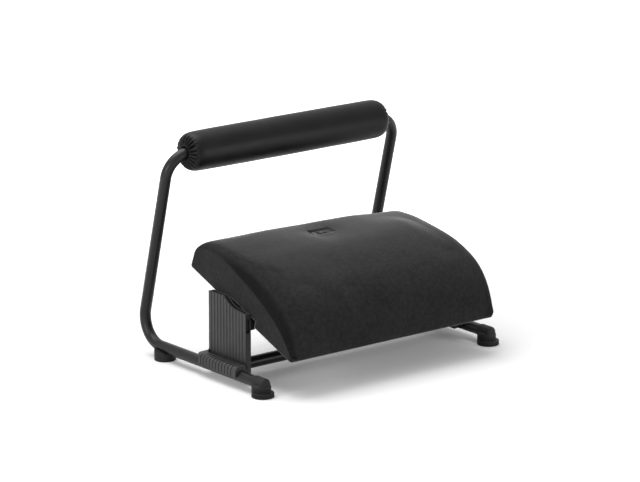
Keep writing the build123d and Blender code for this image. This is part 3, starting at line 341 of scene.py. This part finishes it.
def heating_felt():
    """Needled polyester felt with the heating wire stitched to it in rows 14 mm apart."""
    material, tree, shader, place = start("needled_felt")
    fibre = add(tree, "ShaderNodeTexNoise", {"Scale": 1 / (2 * MM), "Detail": 6.0}, {"Vector": place})
    rows = add(
        tree, "ShaderNodeTexWave",
        {"Scale": 1 / (14 * MM) / 20 * math.tau, "Distortion": 0.4, "bands_direction": "Y"},
        {"Vector": place},
    )
    felt = add(
        tree, "ShaderNodeValToRGB", {"stops": ((0.3, "#B4B2AC"), (0.7, "#D9D7D1"))},
        {"Fac": fibre.outputs["Fac"]},
    )
    wire = add(tree, "ShaderNodeMath", {"operation": "GREATER_THAN", 1: 0.9}, {0: rows.outputs["Fac"]})
    colour = add(
        tree, "ShaderNodeMixRGB", {"Color2": linear("#7A2F28")},
        {"Fac": wire.outputs["Value"], "Color1": felt.outputs["Color"]},
    )
    tree.links.new(colour.outputs["Color"], shader.inputs["Base Color"])
    shader.inputs["Roughness"].default_value = 0.95
    return material


def circuit_board():
    """Glass-epoxy board: green lacquer with faint copper tracks under it."""
    material, tree, shader, place = start("glass_epoxy_board")
    tracks = add(
        tree, "ShaderNodeTexBrick", {"Scale": 1 / (6 * MM), "Mortar Size": 0.06}, {"Vector": place}
    )
    for name, code in (("Color1", "#1D5A34"), ("Color2", "#1A5230"), ("Mortar", "#2F7A48")):
        tracks.inputs[name].default_value = linear(code)
    tree.links.new(tracks.outputs["Color"], shader.inputs["Base Color"])
    shader.inputs["Roughness"].default_value = 0.3
    return material


def milky_lens():
    """Diffusing polycarbonate light guide: milky, with a smooth face."""
    material, tree, shader, place = start("diffusing_polycarbonate")
    clouds = add(tree, "ShaderNodeTexNoise", {"Scale": 1 / (1.5 * MM)}, {"Vector": place})
    colour = add(
        tree, "ShaderNodeValToRGB", {"stops": ((0.0, "#B9BCC0"), (1.0, "#D2D5D8"))},
        {"Fac": clouds.outputs["Fac"]},
    )
    tree.links.new(colour.outputs["Color"], shader.inputs["Base Color"])
    shader.inputs["Roughness"].default_value = 0.25
    shader.inputs["IOR"].default_value = 1.58
    shader.inputs["Transmission Weight"].default_value = 0.25
    return material


def printed_mark():
    """Pad-printed light grey ink."""
    material, tree, shader, place = start("pad_print_grey")
    specks = add(tree, "ShaderNodeTexNoise", {"Scale": 1 / (0.4 * MM)}, {"Vector": place})
    colour = add(
        tree, "ShaderNodeValToRGB", {"stops": ((0.0, "#8C8E92"), (1.0, "#B4B6BA"))},
        {"Fac": specks.outputs["Fac"]},
    )
    tree.links.new(colour.outputs["Color"], shader.inputs["Base Color"])
    shader.inputs["Roughness"].default_value = 0.5
    return material


velvet = velvet_cloth()
faux_leather = faux_leather_skin()
foam = cut_foam()
heater_felt = heating_felt()
board = circuit_board()
lens_clear = milky_lens()
ink = printed_mark()

finishes = {
    frame_coat: ["left_frame_tube", "right_frame_tube", "crossbar"],
    bracket_plastic: ["left_side_bracket", "right_side_bracket"],
    foot_rubber: ["left_front_foot", "right_front_foot", "left_rear_foot", "right_rear_foot"],
    fastener_steel: [
        "joiner_screws", "crossbar_screws", "bracket_screws", "rear_foot_screws", "lug_screws",
        "left_pivot_bolt", "right_pivot_bolt",
    ],
    joiner_steel: ["tube_joiner"],
    insert_brass: ["left_pivot_insert", "right_pivot_insert", "inlet_nut"],
    washer_fibre: ["left_friction_washer", "right_friction_washer"],
    shaded_hinge_plastic: ["left_hinge_lug", "right_hinge_lug"],
    pan_plastic: ["base_pan"],
    heater_felt: ["heater_mat"],
    cutout_plastic: ["thermal_cutout"],
    lead_rubber: ["heater_lead", "supply_lead"],
    control_gloss: ["control_housing", "power_button"],
    control_plastic: ["control_back", "button_switch"],
    board: ["control_board"],
    lens_clear: ["indicator_lens"],
    inlet_plastic: ["power_inlet"],
    core_plastic: ["roll_core"],
    elastic_rubber: ["roll_elastics"],
}
for finish, names in finishes.items():
    for name in names:
        for material_slot in nodes[name].material_slots:
            material_slot.material = finish


# ---- soft pieces -----------------------------------------------------------------------------

def piece(name, shape, finish, body, slot, *stands_for):
    """A finished piece in the scene, from a bmesh in the frame's metres."""
    mesh = bpy.data.meshes.new(name)
    shape.to_mesh(mesh)
    shape.free()
    made = bpy.data.objects.new(name, mesh)
    scene.collection.objects.link(made)
    mesh.materials.append(finish)
    mesh.polygons.foreach_set("use_smooth", [True] * len(mesh.polygons))
    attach(made, body)
    if stands_for:
        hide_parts(*stands_for)
    return made


def smooth_step(share):
    """Eased share, held between 0 and 1."""
    share = max(0.0, min(1.0, share))
    return share * share * (3 - 2 * share)


def ramp(value, first, length):
    """Eased rise from 0 to 1 over a length."""
    return smooth_step((value - first) / length)


def between(low, high, share):
    """Number or point at a share of the way between two others."""
    if isinstance(low, tuple):
        return tuple(a + (b - a) * share for a, b in zip(low, high))
    return low + (high - low) * share


def arc(start_at, end_at, heading):
    """Arc from a point and heading to a point: a function of the share along it, and its last heading."""
    first, chord = Vector(start_at), Vector(end_at) - Vector(start_at)
    heading = Vector(heading).normalized()
    side = Vector((-heading.y, heading.x))
    lift = chord.dot(side)
    if abs(lift) < 1e-6:
        return lambda share: first + chord * share, heading
    radius = chord.length_squared / (2 * lift)
    turn = 2 * math.atan2(lift, chord.dot(heading))
    centre = first + side * radius

    def at(share):
        angle = turn * share
        return centre + radius * (heading * math.sin(angle) - side * math.cos(angle))

    return at, heading * math.cos(turn) + side * math.sin(turn)


def rise_at(x, shoulder):
    """Share of the way from the end panel's profile to the crown's, at a place along X."""
    depth = HALF_LENGTH - abs(x)
    for (near, low), (far, high) in zip(shoulder, shoulder[1:]):
        if depth <= far:
            return between(low, high, (depth - near) / (far - near))
    return 1.0


def profile(rise):
    """The cushion's four arcs from nose to heel, as functions of the share along each."""
    shape = {key: between(END_PANEL[key], CROWN[key], rise) for key in CROWN}
    fall = math.radians(shape["fall"])
    crest, crest_end = arc(shape["rear"], shape["front"], (-math.cos(fall), math.sin(fall)))
    nose, _ = arc(shape["front"], (-HALF_DEPTH, NOSE_H), crest_end)
    rear, rear_end = arc(shape["rear"], shape["corner"], (math.cos(fall), -math.sin(fall)))
    heel, _ = arc(shape["corner"], (HALF_DEPTH, shape["wall"]), rear_end)
    return [lambda k: nose(1 - k), lambda k: crest(1 - k), rear, heel]


def over_profile(arcs, share):
    """Point of a profile at a share of the way from nose to heel."""
    for curve, near, far in zip(arcs, ARC_ENDS, ARC_ENDS[1:]):
        if share <= far:
            return curve((share - near) / (far - near))
    return arcs[-1](1.0)


# Cover's sheet: grid lines, walls, seams and what holds it
ACROSS = 112
AROUND = 72
GRID_CROWDING = 0.86
WALL_ROWS = 8
SEAM_DROP = 2.0  # the wall starts this far below the seam
SEAM_IN = (0.7, 0.5)  # the seam is drawn this far inwards and down
PUCKER = (0.3, 9.0)  # the seam's puckers: depth and spacing
SEAM_CREASE = 0.9
FOLD_CREASE = 0.25
FOOT_ROUND = 4.0  # the cover's turn round the pan's lower edge
CUSHION_CAP = 1.8  # the most that the filled cloth may stand out
HELD_H = 5.0  # the cover is held below this height
SHOULDER_BLEND = (0.45, 0.3)  # where the front shoulder turns into the rear one, as shares of the way over
# how far and how strong the painted shade is beside the left and right end seams, and where that fades
SEAM_SHADE = {-1: (14.0, 1.0), 1: (40.0, 0.65)}
SEAM_SHADE_FADE = (0.5, 0.25)
SEAM_SHADE_LOSS = 0.6
# how pale the painted heel sheen is, and where it starts along the way over and along X
HEEL_SHEEN_SHARE = 0.38
HEEL_SHEEN_OVER = (0.54, 0.31)
HEEL_SHEEN_X = (-200.0, 150.0)
CLOTH_EASE = 14  # passes that smooth out the simulated sheet's small ripples
CLOTH_FRAMES = 20

# How the stuffing lies: heights, and the first place and length of each ramp
HEEL_FULL = 3.6
HEEL_RAMP = (50.0, 75.0)
HEEL_X = 150.0  # the fuller heel runs out here on the right
DIP_SIZE = (45.0, 22.0)  # hollow round the control, along X and along the base
DIP_SHARE = 0.7
LEFT_FULL = 2.5
LEFT_LEAN = 0.03
LEFT_RAMP = (10.0, 80.0)
MAT_CORNER = (146.0, 60.0)  # the heater mat's rear right corner, which stays covered
MAT_EASE = (40.0, 45.0)
RIGHT_FLAT = 6.5
RIGHT_RAMP_X = (90.0, 110.0)
RIGHT_RAMP_S = (-50.0, 130.0)
PAN_RAMP = (10.0, 30.0)  # heights over which the pan's stiff rim gives way to foam


def spread(u):
    """Place along X for a grid line, closer together towards the ends."""
    return HALF_LENGTH * math.sin(u * math.pi / 2 * GRID_CROWDING) / math.sin(math.pi / 2 * GRID_CROWDING)


def settled(x, s, h):
    """How far the stuffing lifts the cover: fuller along the heel and to the left, flatter on the right."""
    dip = math.exp(-(x / DIP_SIZE[0]) ** 2 - ((s - CONTROL_S) / DIP_SIZE[1]) ** 2)
    heel = HEEL_FULL * ramp(s, *HEEL_RAMP) * smooth_step((HEEL_X - x) / HEEL_X) * (1 - DIP_SHARE * dip)
    left = min(LEFT_FULL, max(0.0, -LEFT_LEAN * x)) * ramp(s, *LEFT_RAMP)
    off_mat = math.hypot(
        max(0.0, (x - MAT_CORNER[0]) / MAT_EASE[0]), max(0.0, (s - MAT_CORNER[1]) / MAT_EASE[1])
    )
    flat = ramp(x, *RIGHT_RAMP_X) * ramp(s, *RIGHT_RAMP_S) * smooth_step(off_mat)
    return heel + left - RIGHT_FLAT * flat * ramp(h, *PAN_RAMP)


def cushion_shell():
    """The cover before it is filled: one sheet over the crown, walls down to the base and a hem under it."""
    shape = bmesh.new()
    bmesh.ops.create_grid(shape, x_segments=ACROSS, y_segments=AROUND, size=1.0)
    seam = shape.edges.layers.float.new("crease_edge")
    painted_seam_shade = shape.verts.layers.float.new("painted_seam_shade")
    painted_heel_sheen = shape.verts.layers.float.new("painted_heel_sheen")
    full = shape.verts.layers.float.new("full_height")
    rows = {}
    for corner in shape.verts:
        x = spread(corner.co.x)
        key = round(x, 3)
        if key not in rows:
            shoulders = (SHOULDER, REAR_SHOULDER) if x < 0 else (RIGHT_SHOULDER, RIGHT_REAR_SHOULDER)
            rows[key] = [profile(rise_at(x, shoulder)) for shoulder in shoulders]
        share = (corner.co.y + 1) / 2
        front, rear = (over_profile(arcs, share) for arcs in rows[key])
        s, h = front.lerp(rear, ramp(share, *SHOULDER_BLEND))
        behind_nose = min(NOSE_CORNER_R, max(0.0, NOSE_CORNER_R - HALF_DEPTH - s))
        corner_cut = NOSE_CORNER_R - math.sqrt(NOSE_CORNER_R ** 2 - behind_nose ** 2)
        corner.co = (x * (1 - corner_cut / HALF_LENGTH), s, h + settled(x, s, h))
        corner[full] = corner.co.z
        # painted sheen: paler colour over the rear of the crown
        corner[painted_heel_sheen] = HEEL_SHEEN_SHARE * ramp(share, *HEEL_SHEEN_OVER) * ramp(x, *HEEL_SHEEN_X)
        # painted shade beside the end seams, strongest at the seam and weaker towards the rear
        fade = 1 - SEAM_SHADE_LOSS * ramp(share, *SEAM_SHADE_FADE)
        deep, strength = SEAM_SHADE[-1 if x < 0 else 1]
        corner[painted_seam_shade] = strength * fade * max(0.0, 1 - (HALF_LENGTH - abs(x)) / deep)
    rim = [edge for edge in shape.edges if edge.is_boundary]
    ends = {corner for edge in rim for corner in edge.verts if abs(corner.co.x) > HALF_LENGTH - 0.5}
    for edge in rim:
        edge[seam] = SEAM_CREASE if ends.issuperset(edge.verts) else FOLD_CREASE

    def on_wall(h, share):
        return between(h - min(SEAM_DROP, 0.2 * h), min(FOOT_ROUND, 0.45 * h), share)

    drops = [(0.0, lambda h, k=k: on_wall(h, k / (WALL_ROWS - 1))) for k in range(WALL_ROWS)]
    drops += [
        (0.3 * FOOT_ROUND, lambda h: min(0.3 * FOOT_ROUND, 0.15 * h)),
        (FOOT_ROUND, lambda h: 0.0),
        (HEM, lambda h: 0.0),
    ]
    for inset, height in drops:
        grown = bmesh.ops.extrude_edge_only(shape, edges=rim)["geom"]
        rim = [part for part in grown if isinstance(part, bmesh.types.BMEdge)]
        for corner in [part for part in grown if isinstance(part, bmesh.types.BMVert)]:
            corner.co.x = max(-HALF_LENGTH + inset, min(HALF_LENGTH - inset, corner.co.x))
            corner.co.y = max(-HALF_DEPTH + inset, min(HALF_DEPTH - inset, corner.co.y))
            corner.co.z = height(corner[full])
            corner[painted_seam_shade] = corner[painted_heel_sheen] = 0.0
    for corner in ends:
        pucker = PUCKER[0] * noise.noise(Vector((corner.co.x, corner.co.y / PUCKER[1], 0)))
        corner.co.x -= math.copysign(SEAM_IN[0] + pucker, corner.co.x)
        corner.co.z -= SEAM_IN[1]
    bmesh.ops.remove_doubles(shape, verts=shape.verts, dist=0.02)
    bmesh.ops.recalc_face_normals(shape, faces=shape.faces)
    return shape


def cut_out(shape, planes, keep_out):
    """Cuts a sheet along planes and removes the faces whose middles lie inside the cut."""
    for spot, along in planes:
        near = [face for face in shape.faces if keep_out(face.calc_center_median(), CUT_ROOM)]
        edges = list(dict.fromkeys(edge for face in near for edge in face.edges))
        corners = list(dict.fromkeys(corner for face in near for corner in face.verts))
        bmesh.ops.bisect_plane(shape, geom=corners + edges + near, dist=1e-4, plane_co=spot, plane_no=along)
    inside = [face for face in shape.faces if keep_out(face.calc_center_median(), 0.0)]
    bmesh.ops.delete(shape, geom=inside, context="FACES")


def cut_cover_openings(shape):
    """Opens the cover at the hinges, round the control and at the inlet."""
    inner_x, half_s, height = NOTCH
    for end in (-1, 1):
        def in_notch(spot, room, end=end):
            return spot.x * end > inner_x - room and abs(spot.y) < half_s + room and spot.z < height + room

        planes = [((0, -half_s, 0), (0, 1, 0)), ((0, half_s, 0), (0, 1, 0)), ((0, 0, height), (0, 0, 1))]
        cut_out(shape, planes, in_notch)
    to_base = base_to_frame.inverted()
    spot = to_base @ (CONTROL * MM)
    up = (to_base.to_3x3() @ CONTROL_UP).normalized()
    run = Vector((1, 0, 0)).cross(up) * -1
    half_x, half_run = CONTROL_OPENING[0] / 2, CONTROL_OPENING[1] / 2

    def in_control(place, room):
        away = place - spot
        beside = abs(away.x) < half_x + room and abs(away.dot(run)) < half_run + room
        return beside and abs(away.dot(up)) < CONTROL_REACH

    planes = [(spot + Vector((side * half_x, 0, 0)), (1, 0, 0)) for side in (-1, 1)]
    planes += [(spot + run * (side * half_run), run) for side in (-1, 1)]
    cut_out(shape, planes, in_control)
    edge_of = [
        edge for edge in shape.edges
        if edge.is_boundary and all(in_control(corner.co, 0.5) for corner in edge.verts)
    ]
    tucked = bmesh.ops.extrude_edge_only(shape, edges=edge_of)["geom"]
    turned = [part for part in tucked if isinstance(part, bmesh.types.BMVert)]
    bmesh.ops.translate(shape, vec=up * -CONTROL_TUCK, verts=turned)
    inlet = Vector((0, HALF_DEPTH, INLET_H))

    def in_inlet(place, room):
        away = place - inlet
        return away.y > -INLET_DEPTH and math.hypot(away.x, away.z) < INLET_R + room

    turns = [math.tau * k / INLET_SIDES for k in range(INLET_SIDES)]
    rays = [Vector((math.cos(turn), 0, math.sin(turn))) for turn in turns]
    cut_out(shape, [(inlet + ray * INLET_R, ray) for ray in rays], in_inlet)


def fill_with_cloth(made, held, cap):
    """Blows a cover up as cloth, holds what is sewn or screwed, and caps how far the rest moves."""
    rest = [corner.co.copy() for corner in made.data.vertices]
    outward = [corner.normal.copy() for corner in made.data.vertices]
    group = made.vertex_groups.new(name="held")
    group.add(held, 1.0, "REPLACE")
    cloth = made.modifiers.new("fill", "CLOTH")
    cloth.settings.quality = 6
    cloth.settings.mass = 0.25
    cloth.settings.tension_stiffness = 20
    cloth.settings.compression_stiffness = 20
    cloth.settings.shear_stiffness = 8
    cloth.settings.bending_stiffness = 1.2
    cloth.settings.use_pressure = True
    cloth.settings.uniform_pressure_force = 4
    cloth.settings.shrink_min = -0.004
    cloth.settings.shrink_max = -0.004
    cloth.settings.effector_weights.gravity = 0
    cloth.settings.vertex_group_mass = "held"
    cloth.point_cache.frame_start = 1
    cloth.point_cache.frame_end = CLOTH_FRAMES
    for step in range(1, CLOTH_FRAMES + 1):
        scene.frame_set(step)
    filled = made.evaluated_get(bpy.context.evaluated_depsgraph_get()).to_mesh()
    moved = [corner.co.copy() for corner in filled.vertices]
    made.modifiers.remove(cloth)
    scene.frame_set(1)
    steps = [(after - before).dot(normal) for before, after, normal in zip(rest, moved, outward)]
    near = [[] for _ in rest]
    for edge in made.data.edges:
        one, other = edge.vertices
        near[one].append(other)
        near[other].append(one)
    fixed = set(held)
    for _ in range(CLOTH_EASE):
        steps = [
            0.0 if k in fixed else (steps[k] + sum(steps[other] for other in near[k])) / (1 + len(near[k]))
            for k in range(len(steps))
        ]
    for corner, before, normal, step in zip(made.data.vertices, rest, outward, steps):
        corner.co = before + normal * (cap * math.tanh(max(step, 0.15 * step) / cap))


shell = cushion_shell()
cut_cover_openings(shell)
bmesh.ops.transform(shell, matrix=base_to_frame, verts=shell.verts)
cover = piece("cushion_cover_velvet", shell, velvet, "cushion", "velvet", "cushion_cover")
to_base = base_to_frame.inverted()
weights = cover.data.attributes["crease_edge"].data
sewn = {corner for edge in cover.data.edges if weights[edge.index].value > 0.5 for corner in edge.vertices}
held = []
for corner in cover.data.vertices:
    h = (to_base @ corner.co).z
    by_control = (corner.co / MM - CONTROL).length < CONTROL_OPENING[0] / 2 + CONTROL_HELD
    if h < HELD_H or corner.index in sewn or by_control:
        held.append(corner.index)
fill_with_cloth(cover, held, CUSHION_CAP * MM)
smooth = cover.modifiers.new("smooth", "SUBSURF")
smooth.levels = smooth.render_levels = 1
wall = cover.modifiers.new("cloth_thickness", "SOLIDIFY")
wall.thickness = COVER_T * MM
wall.offset = -1.0


def through(points, steps):
    """Smooth line through points, with a number of steps between each two."""
    first, last = Vector(points[0]), Vector(points[-1])
    before_first, after_last = first * 2 - Vector(points[1]), last * 2 - Vector(points[-2])
    spots = [before_first] + [Vector(spot) for spot in points] + [after_last]
    line = []
    for before, here, there, after in zip(spots, spots[1:], spots[2:], spots[3:]):
        for k in range(steps):
            share = k / steps
            pull, push = (there - before) / 2, (after - here) / 2
            bend = (here - there) * 2 + pull + push
            line.append(here + pull * share + (there - here - pull - bend) * share ** 2 + bend * share ** 3)
    return line + [last]


def drawn_in(radius):
    """How deep the pleats are at a radius of the gathered end, as a share of the deepest."""
    deepest, outermost = PLEATED
    if radius > deepest:
        return smooth_step((outermost - radius) / (outermost - deepest))
    at_mouth, growth = PLEAT_GROWTH
    return at_mouth + (1 - at_mouth) * ramp(radius, ROLL_MOUTH_R, growth)


def roll_shell():
    """The roll's cover: its outline spun round the bar, then drawn into pleats at both gathered ends."""
    first_x, first_r = ROLL_END[0]
    body = [Vector((x, between(ROLL_R, first_r, (x / first_x) ** 2))) for x in range(0, int(first_x), 12)]
    outline = body + through(ROLL_END, 3)
    outline = [Vector((-x, r)) for x, r in reversed(outline[1:])] + outline
    shape = bmesh.new()
    corners = [shape.verts.new((x, 0, r)) for x, r in outline]
    edges = [shape.edges.new(pair) for pair in zip(corners, corners[1:])]
    bmesh.ops.spin(
        shape, geom=corners + edges, cent=(0, 0, 0), axis=(1, 0, 0), dvec=(0, 0, 0),
        angle=math.tau, steps=ROLL_PLEATS * PLEAT_STEPS, use_merge=True,
    )
    bmesh.ops.remove_doubles(shape, verts=shape.verts, dist=0.001)
    bmesh.ops.recalc_face_normals(shape, faces=shape.faces)
    shape.normal_update()
    moves = []
    for corner in shape.verts:
        x, y, z = corner.co
        radius = math.hypot(y, z)
        angle = math.atan2(z, y)
        end = 7.0 if x > 0 else -3.0  # the two ends gather differently
        round_bar = Vector((math.cos(angle), math.sin(angle), 0))
        shift = PLEAT_SHIFT * noise.noise(round_bar * 2.2 + Vector((0, 0, end)))
        varied = noise.noise(round_bar * 3.1 + Vector((0, 0, end + 9)))
        depth = PLEAT_DEPTH * (1.0 + PLEAT_VARIES * varied)
        crease = 1 - abs(math.sin(ROLL_PLEATS / 2 * angle + shift)) ** PLEAT_SHARPNESS
        gather = drawn_in(radius) if abs(x) > first_x else 0.0
        lie = noise.noise(Vector((x / 55, y / 34, z / 34)))
        moves.append(corner.normal * (ROLL_LIE * lie * (1 - gather) - crease * depth * gather))
    for corner, move in zip(shape.verts, moves):
        corner.co += move
        radius = math.hypot(corner.co.y, corner.co.z)
        if radius < ROLL_MOUTH_R:
            corner.co.y *= ROLL_MOUTH_R / radius
            corner.co.z *= ROLL_MOUTH_R / radius
    bmesh.ops.transform(
        shape, matrix=Matrix.Scale(MM, 4) @ Matrix.Translation(BAR), verts=shape.verts
    )
    return shape


roll = piece("roll_cover_leathercloth", roll_shell(), faux_leather, "roll", "faux_leather", "roll_cover")
skin = roll.modifiers.new("cloth_thickness", "SOLIDIFY")
skin.thickness = ROLL_COVER_T * MM
skin.offset = -1.0


def foam_block(name, node, body, voxel_mm, shrink_mm):
    """Foam that fills a cover: the node's shape with cut faces gone soft, a little inside the cover."""
    shape = bmesh.new()
    shape.from_mesh(nodes[node].data)
    bmesh.ops.transform(shape, matrix=nodes[node].matrix_world, verts=shape.verts)
    bmesh.ops.remove_doubles(shape, verts=shape.verts, dist=0.01 * MM)
    made = piece(name, shape, foam, body, "foam", node)
    remesh = made.modifiers.new("soften", "REMESH")
    remesh.mode = "VOXEL"
    remesh.voxel_size = voxel_mm * MM
    remesh.use_smooth_shade = True
    soft = made.modifiers.new("round", "SMOOTH")
    soft.factor = 0.5
    soft.iterations = 4
    inside = made.modifiers.new("ease", "DISPLACE")
    inside.strength = -shrink_mm * MM
    inside.mid_level = 0.0
    bpy.context.view_layer.update()
    made.data = bpy.data.meshes.new_from_object(made.evaluated_get(bpy.context.evaluated_depsgraph_get()))
    made.modifiers.clear()
    return made


cushion_pad = foam_block("cushion_foam_block", "cushion_foam", "cushion", 4.0, 3.0)
for corner in cushion_pad.data.vertices:
    x, s, h = to_base @ corner.co
    corner.co = base_to_frame @ Vector((x, s, h + min(0.0, settled(x, s, h))))
foam_block("roll_foam_tube", "roll_foam", "roll", 3.0, 1.0)


# ---- mark on the button ----------------------------------------------------------------------

BUTTON_DROP = 0.2  # the button's top, below the cover's face
MARK_SINK = 0.02  # the ink's foot, inside the button
MARK_RING = (1.55, 2.05)  # inner and outer radius
MARK_GAP = math.radians(38)
MARK_BAR = (0.5, 1.9)
MARK_BAR_Y = 1.35
INK_T = 0.06


def power_mark():
    """Generic on-off mark: a broken ring and a bar, printed on the button."""
    shape = bmesh.new()
    corners = [shape.verts.new((0, r, 0)) for r in MARK_RING]
    strip = shape.edges.new(corners)
    bmesh.ops.rotate(shape, verts=corners, cent=(0, 0, 0), matrix=Matrix.Rotation(MARK_GAP, 3, "Z"))
    bmesh.ops.spin(
        shape, geom=corners + [strip], cent=(0, 0, 0), axis=(0, 0, 1), dvec=(0, 0, 0),
        angle=math.tau - 2 * MARK_GAP, steps=40,
    )
    bar = bmesh.ops.create_grid(shape, x_segments=1, y_segments=6, size=0.5)["verts"]
    bmesh.ops.scale(shape, vec=(*MARK_BAR, 1.0), verts=bar)
    bmesh.ops.translate(shape, vec=(0, MARK_BAR_Y, 0), verts=bar)
    grown = bmesh.ops.extrude_face_region(shape, geom=list(shape.faces))["geom"]
    top = [part for part in grown if isinstance(part, bmesh.types.BMVert)]
    bmesh.ops.translate(shape, vec=(0, 0, INK_T), verts=top)
    bmesh.ops.recalc_face_normals(shape, faces=shape.faces)
    run = Vector((1, 0, 0)).cross(CONTROL_UP) * -1
    turn = Matrix((Vector((1, 0, 0)), run, CONTROL_UP)).transposed().to_4x4()
    lift = Matrix.Translation(CONTROL - CONTROL_UP * (BUTTON_DROP + MARK_SINK))
    bmesh.ops.transform(shape, matrix=Matrix.Scale(MM, 4) @ lift @ turn, verts=shape.verts)
    return shape


piece("power_mark", power_mark(), ink, "button", "control_plastic")


# ---- floor, light and camera -----------------------------------------------------------------

FLOOR_R = 4.0
AIM = Vector((0, 0, 0.15))  # what the lamps point at


def seen_by(tree):
    """1 for rays from the camera and those mirrored or let through to it, and 0 for those that only light."""
    path = add(tree, "ShaderNodeLightPath")
    seen = path.outputs["Is Camera Ray"]
    for ray in ("Is Glossy Ray", "Is Transmission Ray"):
        either = add(tree, "ShaderNodeMath", {"operation": "MAXIMUM"}, {0: seen, 1: path.outputs[ray]})
        seen = either.outputs["Value"]
    return seen


shape = bmesh.new()
bmesh.ops.create_circle(shape, cap_ends=True, segments=96, radius=FLOOR_R)
mesh = bpy.data.meshes.new("floor")
shape.to_mesh(mesh)
shape.free()
floor = bpy.data.objects.new("floor", mesh)
scene.collection.objects.link(floor)
paper = bpy.data.materials.new("white_paper")
paper.use_nodes = True
tree = paper.node_tree
shader = tree.nodes["Principled BSDF"]
shader.inputs["Base Color"].default_value = linear("#F2F2F2")
shader.inputs["Roughness"].default_value = 0.9
shader.inputs["Specular IOR Level"].default_value = 0.0
# the paper runs out to white away from the object, past its shadow
place = add(tree, "ShaderNodeTexCoord").outputs["Object"]
away = add(tree, "ShaderNodeVectorMath", {"operation": "LENGTH"}, {0: place})
fade = add(
    tree, "ShaderNodeMapRange",
    {"interpolation_type": "SMOOTHSTEP", "From Min": 0.45, "From Max": 1.3, "To Min": 0.12, "To Max": 1.0},
    {"Value": away.outputs["Value"]},
)
glow = add(
    tree, "ShaderNodeMath", {"operation": "MULTIPLY"}, {0: seen_by(tree), 1: fade.outputs["Result"]}
)
shader.inputs["Emission Color"].default_value = (1, 1, 1, 1)
tree.links.new(glow.outputs["Value"], shader.inputs["Emission Strength"])
mesh.materials.append(paper)

world = bpy.data.worlds.new("studio")
scene.world = world
world.use_nodes = True
tree = world.node_tree
level = add(tree, "ShaderNodeMapRange", {"To Min": 0.36, "To Max": 1.0}, {"Value": seen_by(tree)})
back = tree.nodes["Background"]
back.inputs["Color"].default_value = (1, 1, 1, 1)
tree.links.new(level.outputs["Result"], back.inputs["Strength"])


def softbox(name, spot, size, power):
    """Studio lamp with a flat face, aimed at the middle of the object."""
    lamp = bpy.data.lights.new(name, "AREA")
    lamp.shape = "RECTANGLE"
    lamp.size, lamp.size_y = size
    lamp.energy = power
    made = bpy.data.objects.new(name, lamp)
    scene.collection.objects.link(made)
    made.location = spot
    made.rotation_euler = (AIM - Vector(spot)).to_track_quat("-Z", "Y").to_euler()


softbox("overhead", (-0.28, 0.55, 2.1), (1.8, 1.8), 45.5)
softbox("left_side", (-2.2, -0.3, 0.8), (0.8, 0.8), 15.5)
softbox("right_front", (0.8, -1.45, 0.35), (0.25, 0.5), 5.0)

eye = Vector((-3.6566, -4.5849, 1.7503))
heading = Vector((0.6016, 0.7563, -0.2571))
lens = bpy.data.cameras.new("camera")
lens.sensor_width = 36.0
lens.lens = 205.0
camera = bpy.data.objects.new("camera", lens)
scene.collection.objects.link(camera)
camera.location = eye
camera.rotation_euler = heading.to_track_quat("-Z", "Y").to_euler()
scene.camera = camera
scene.view_settings.view_transform = "Standard"
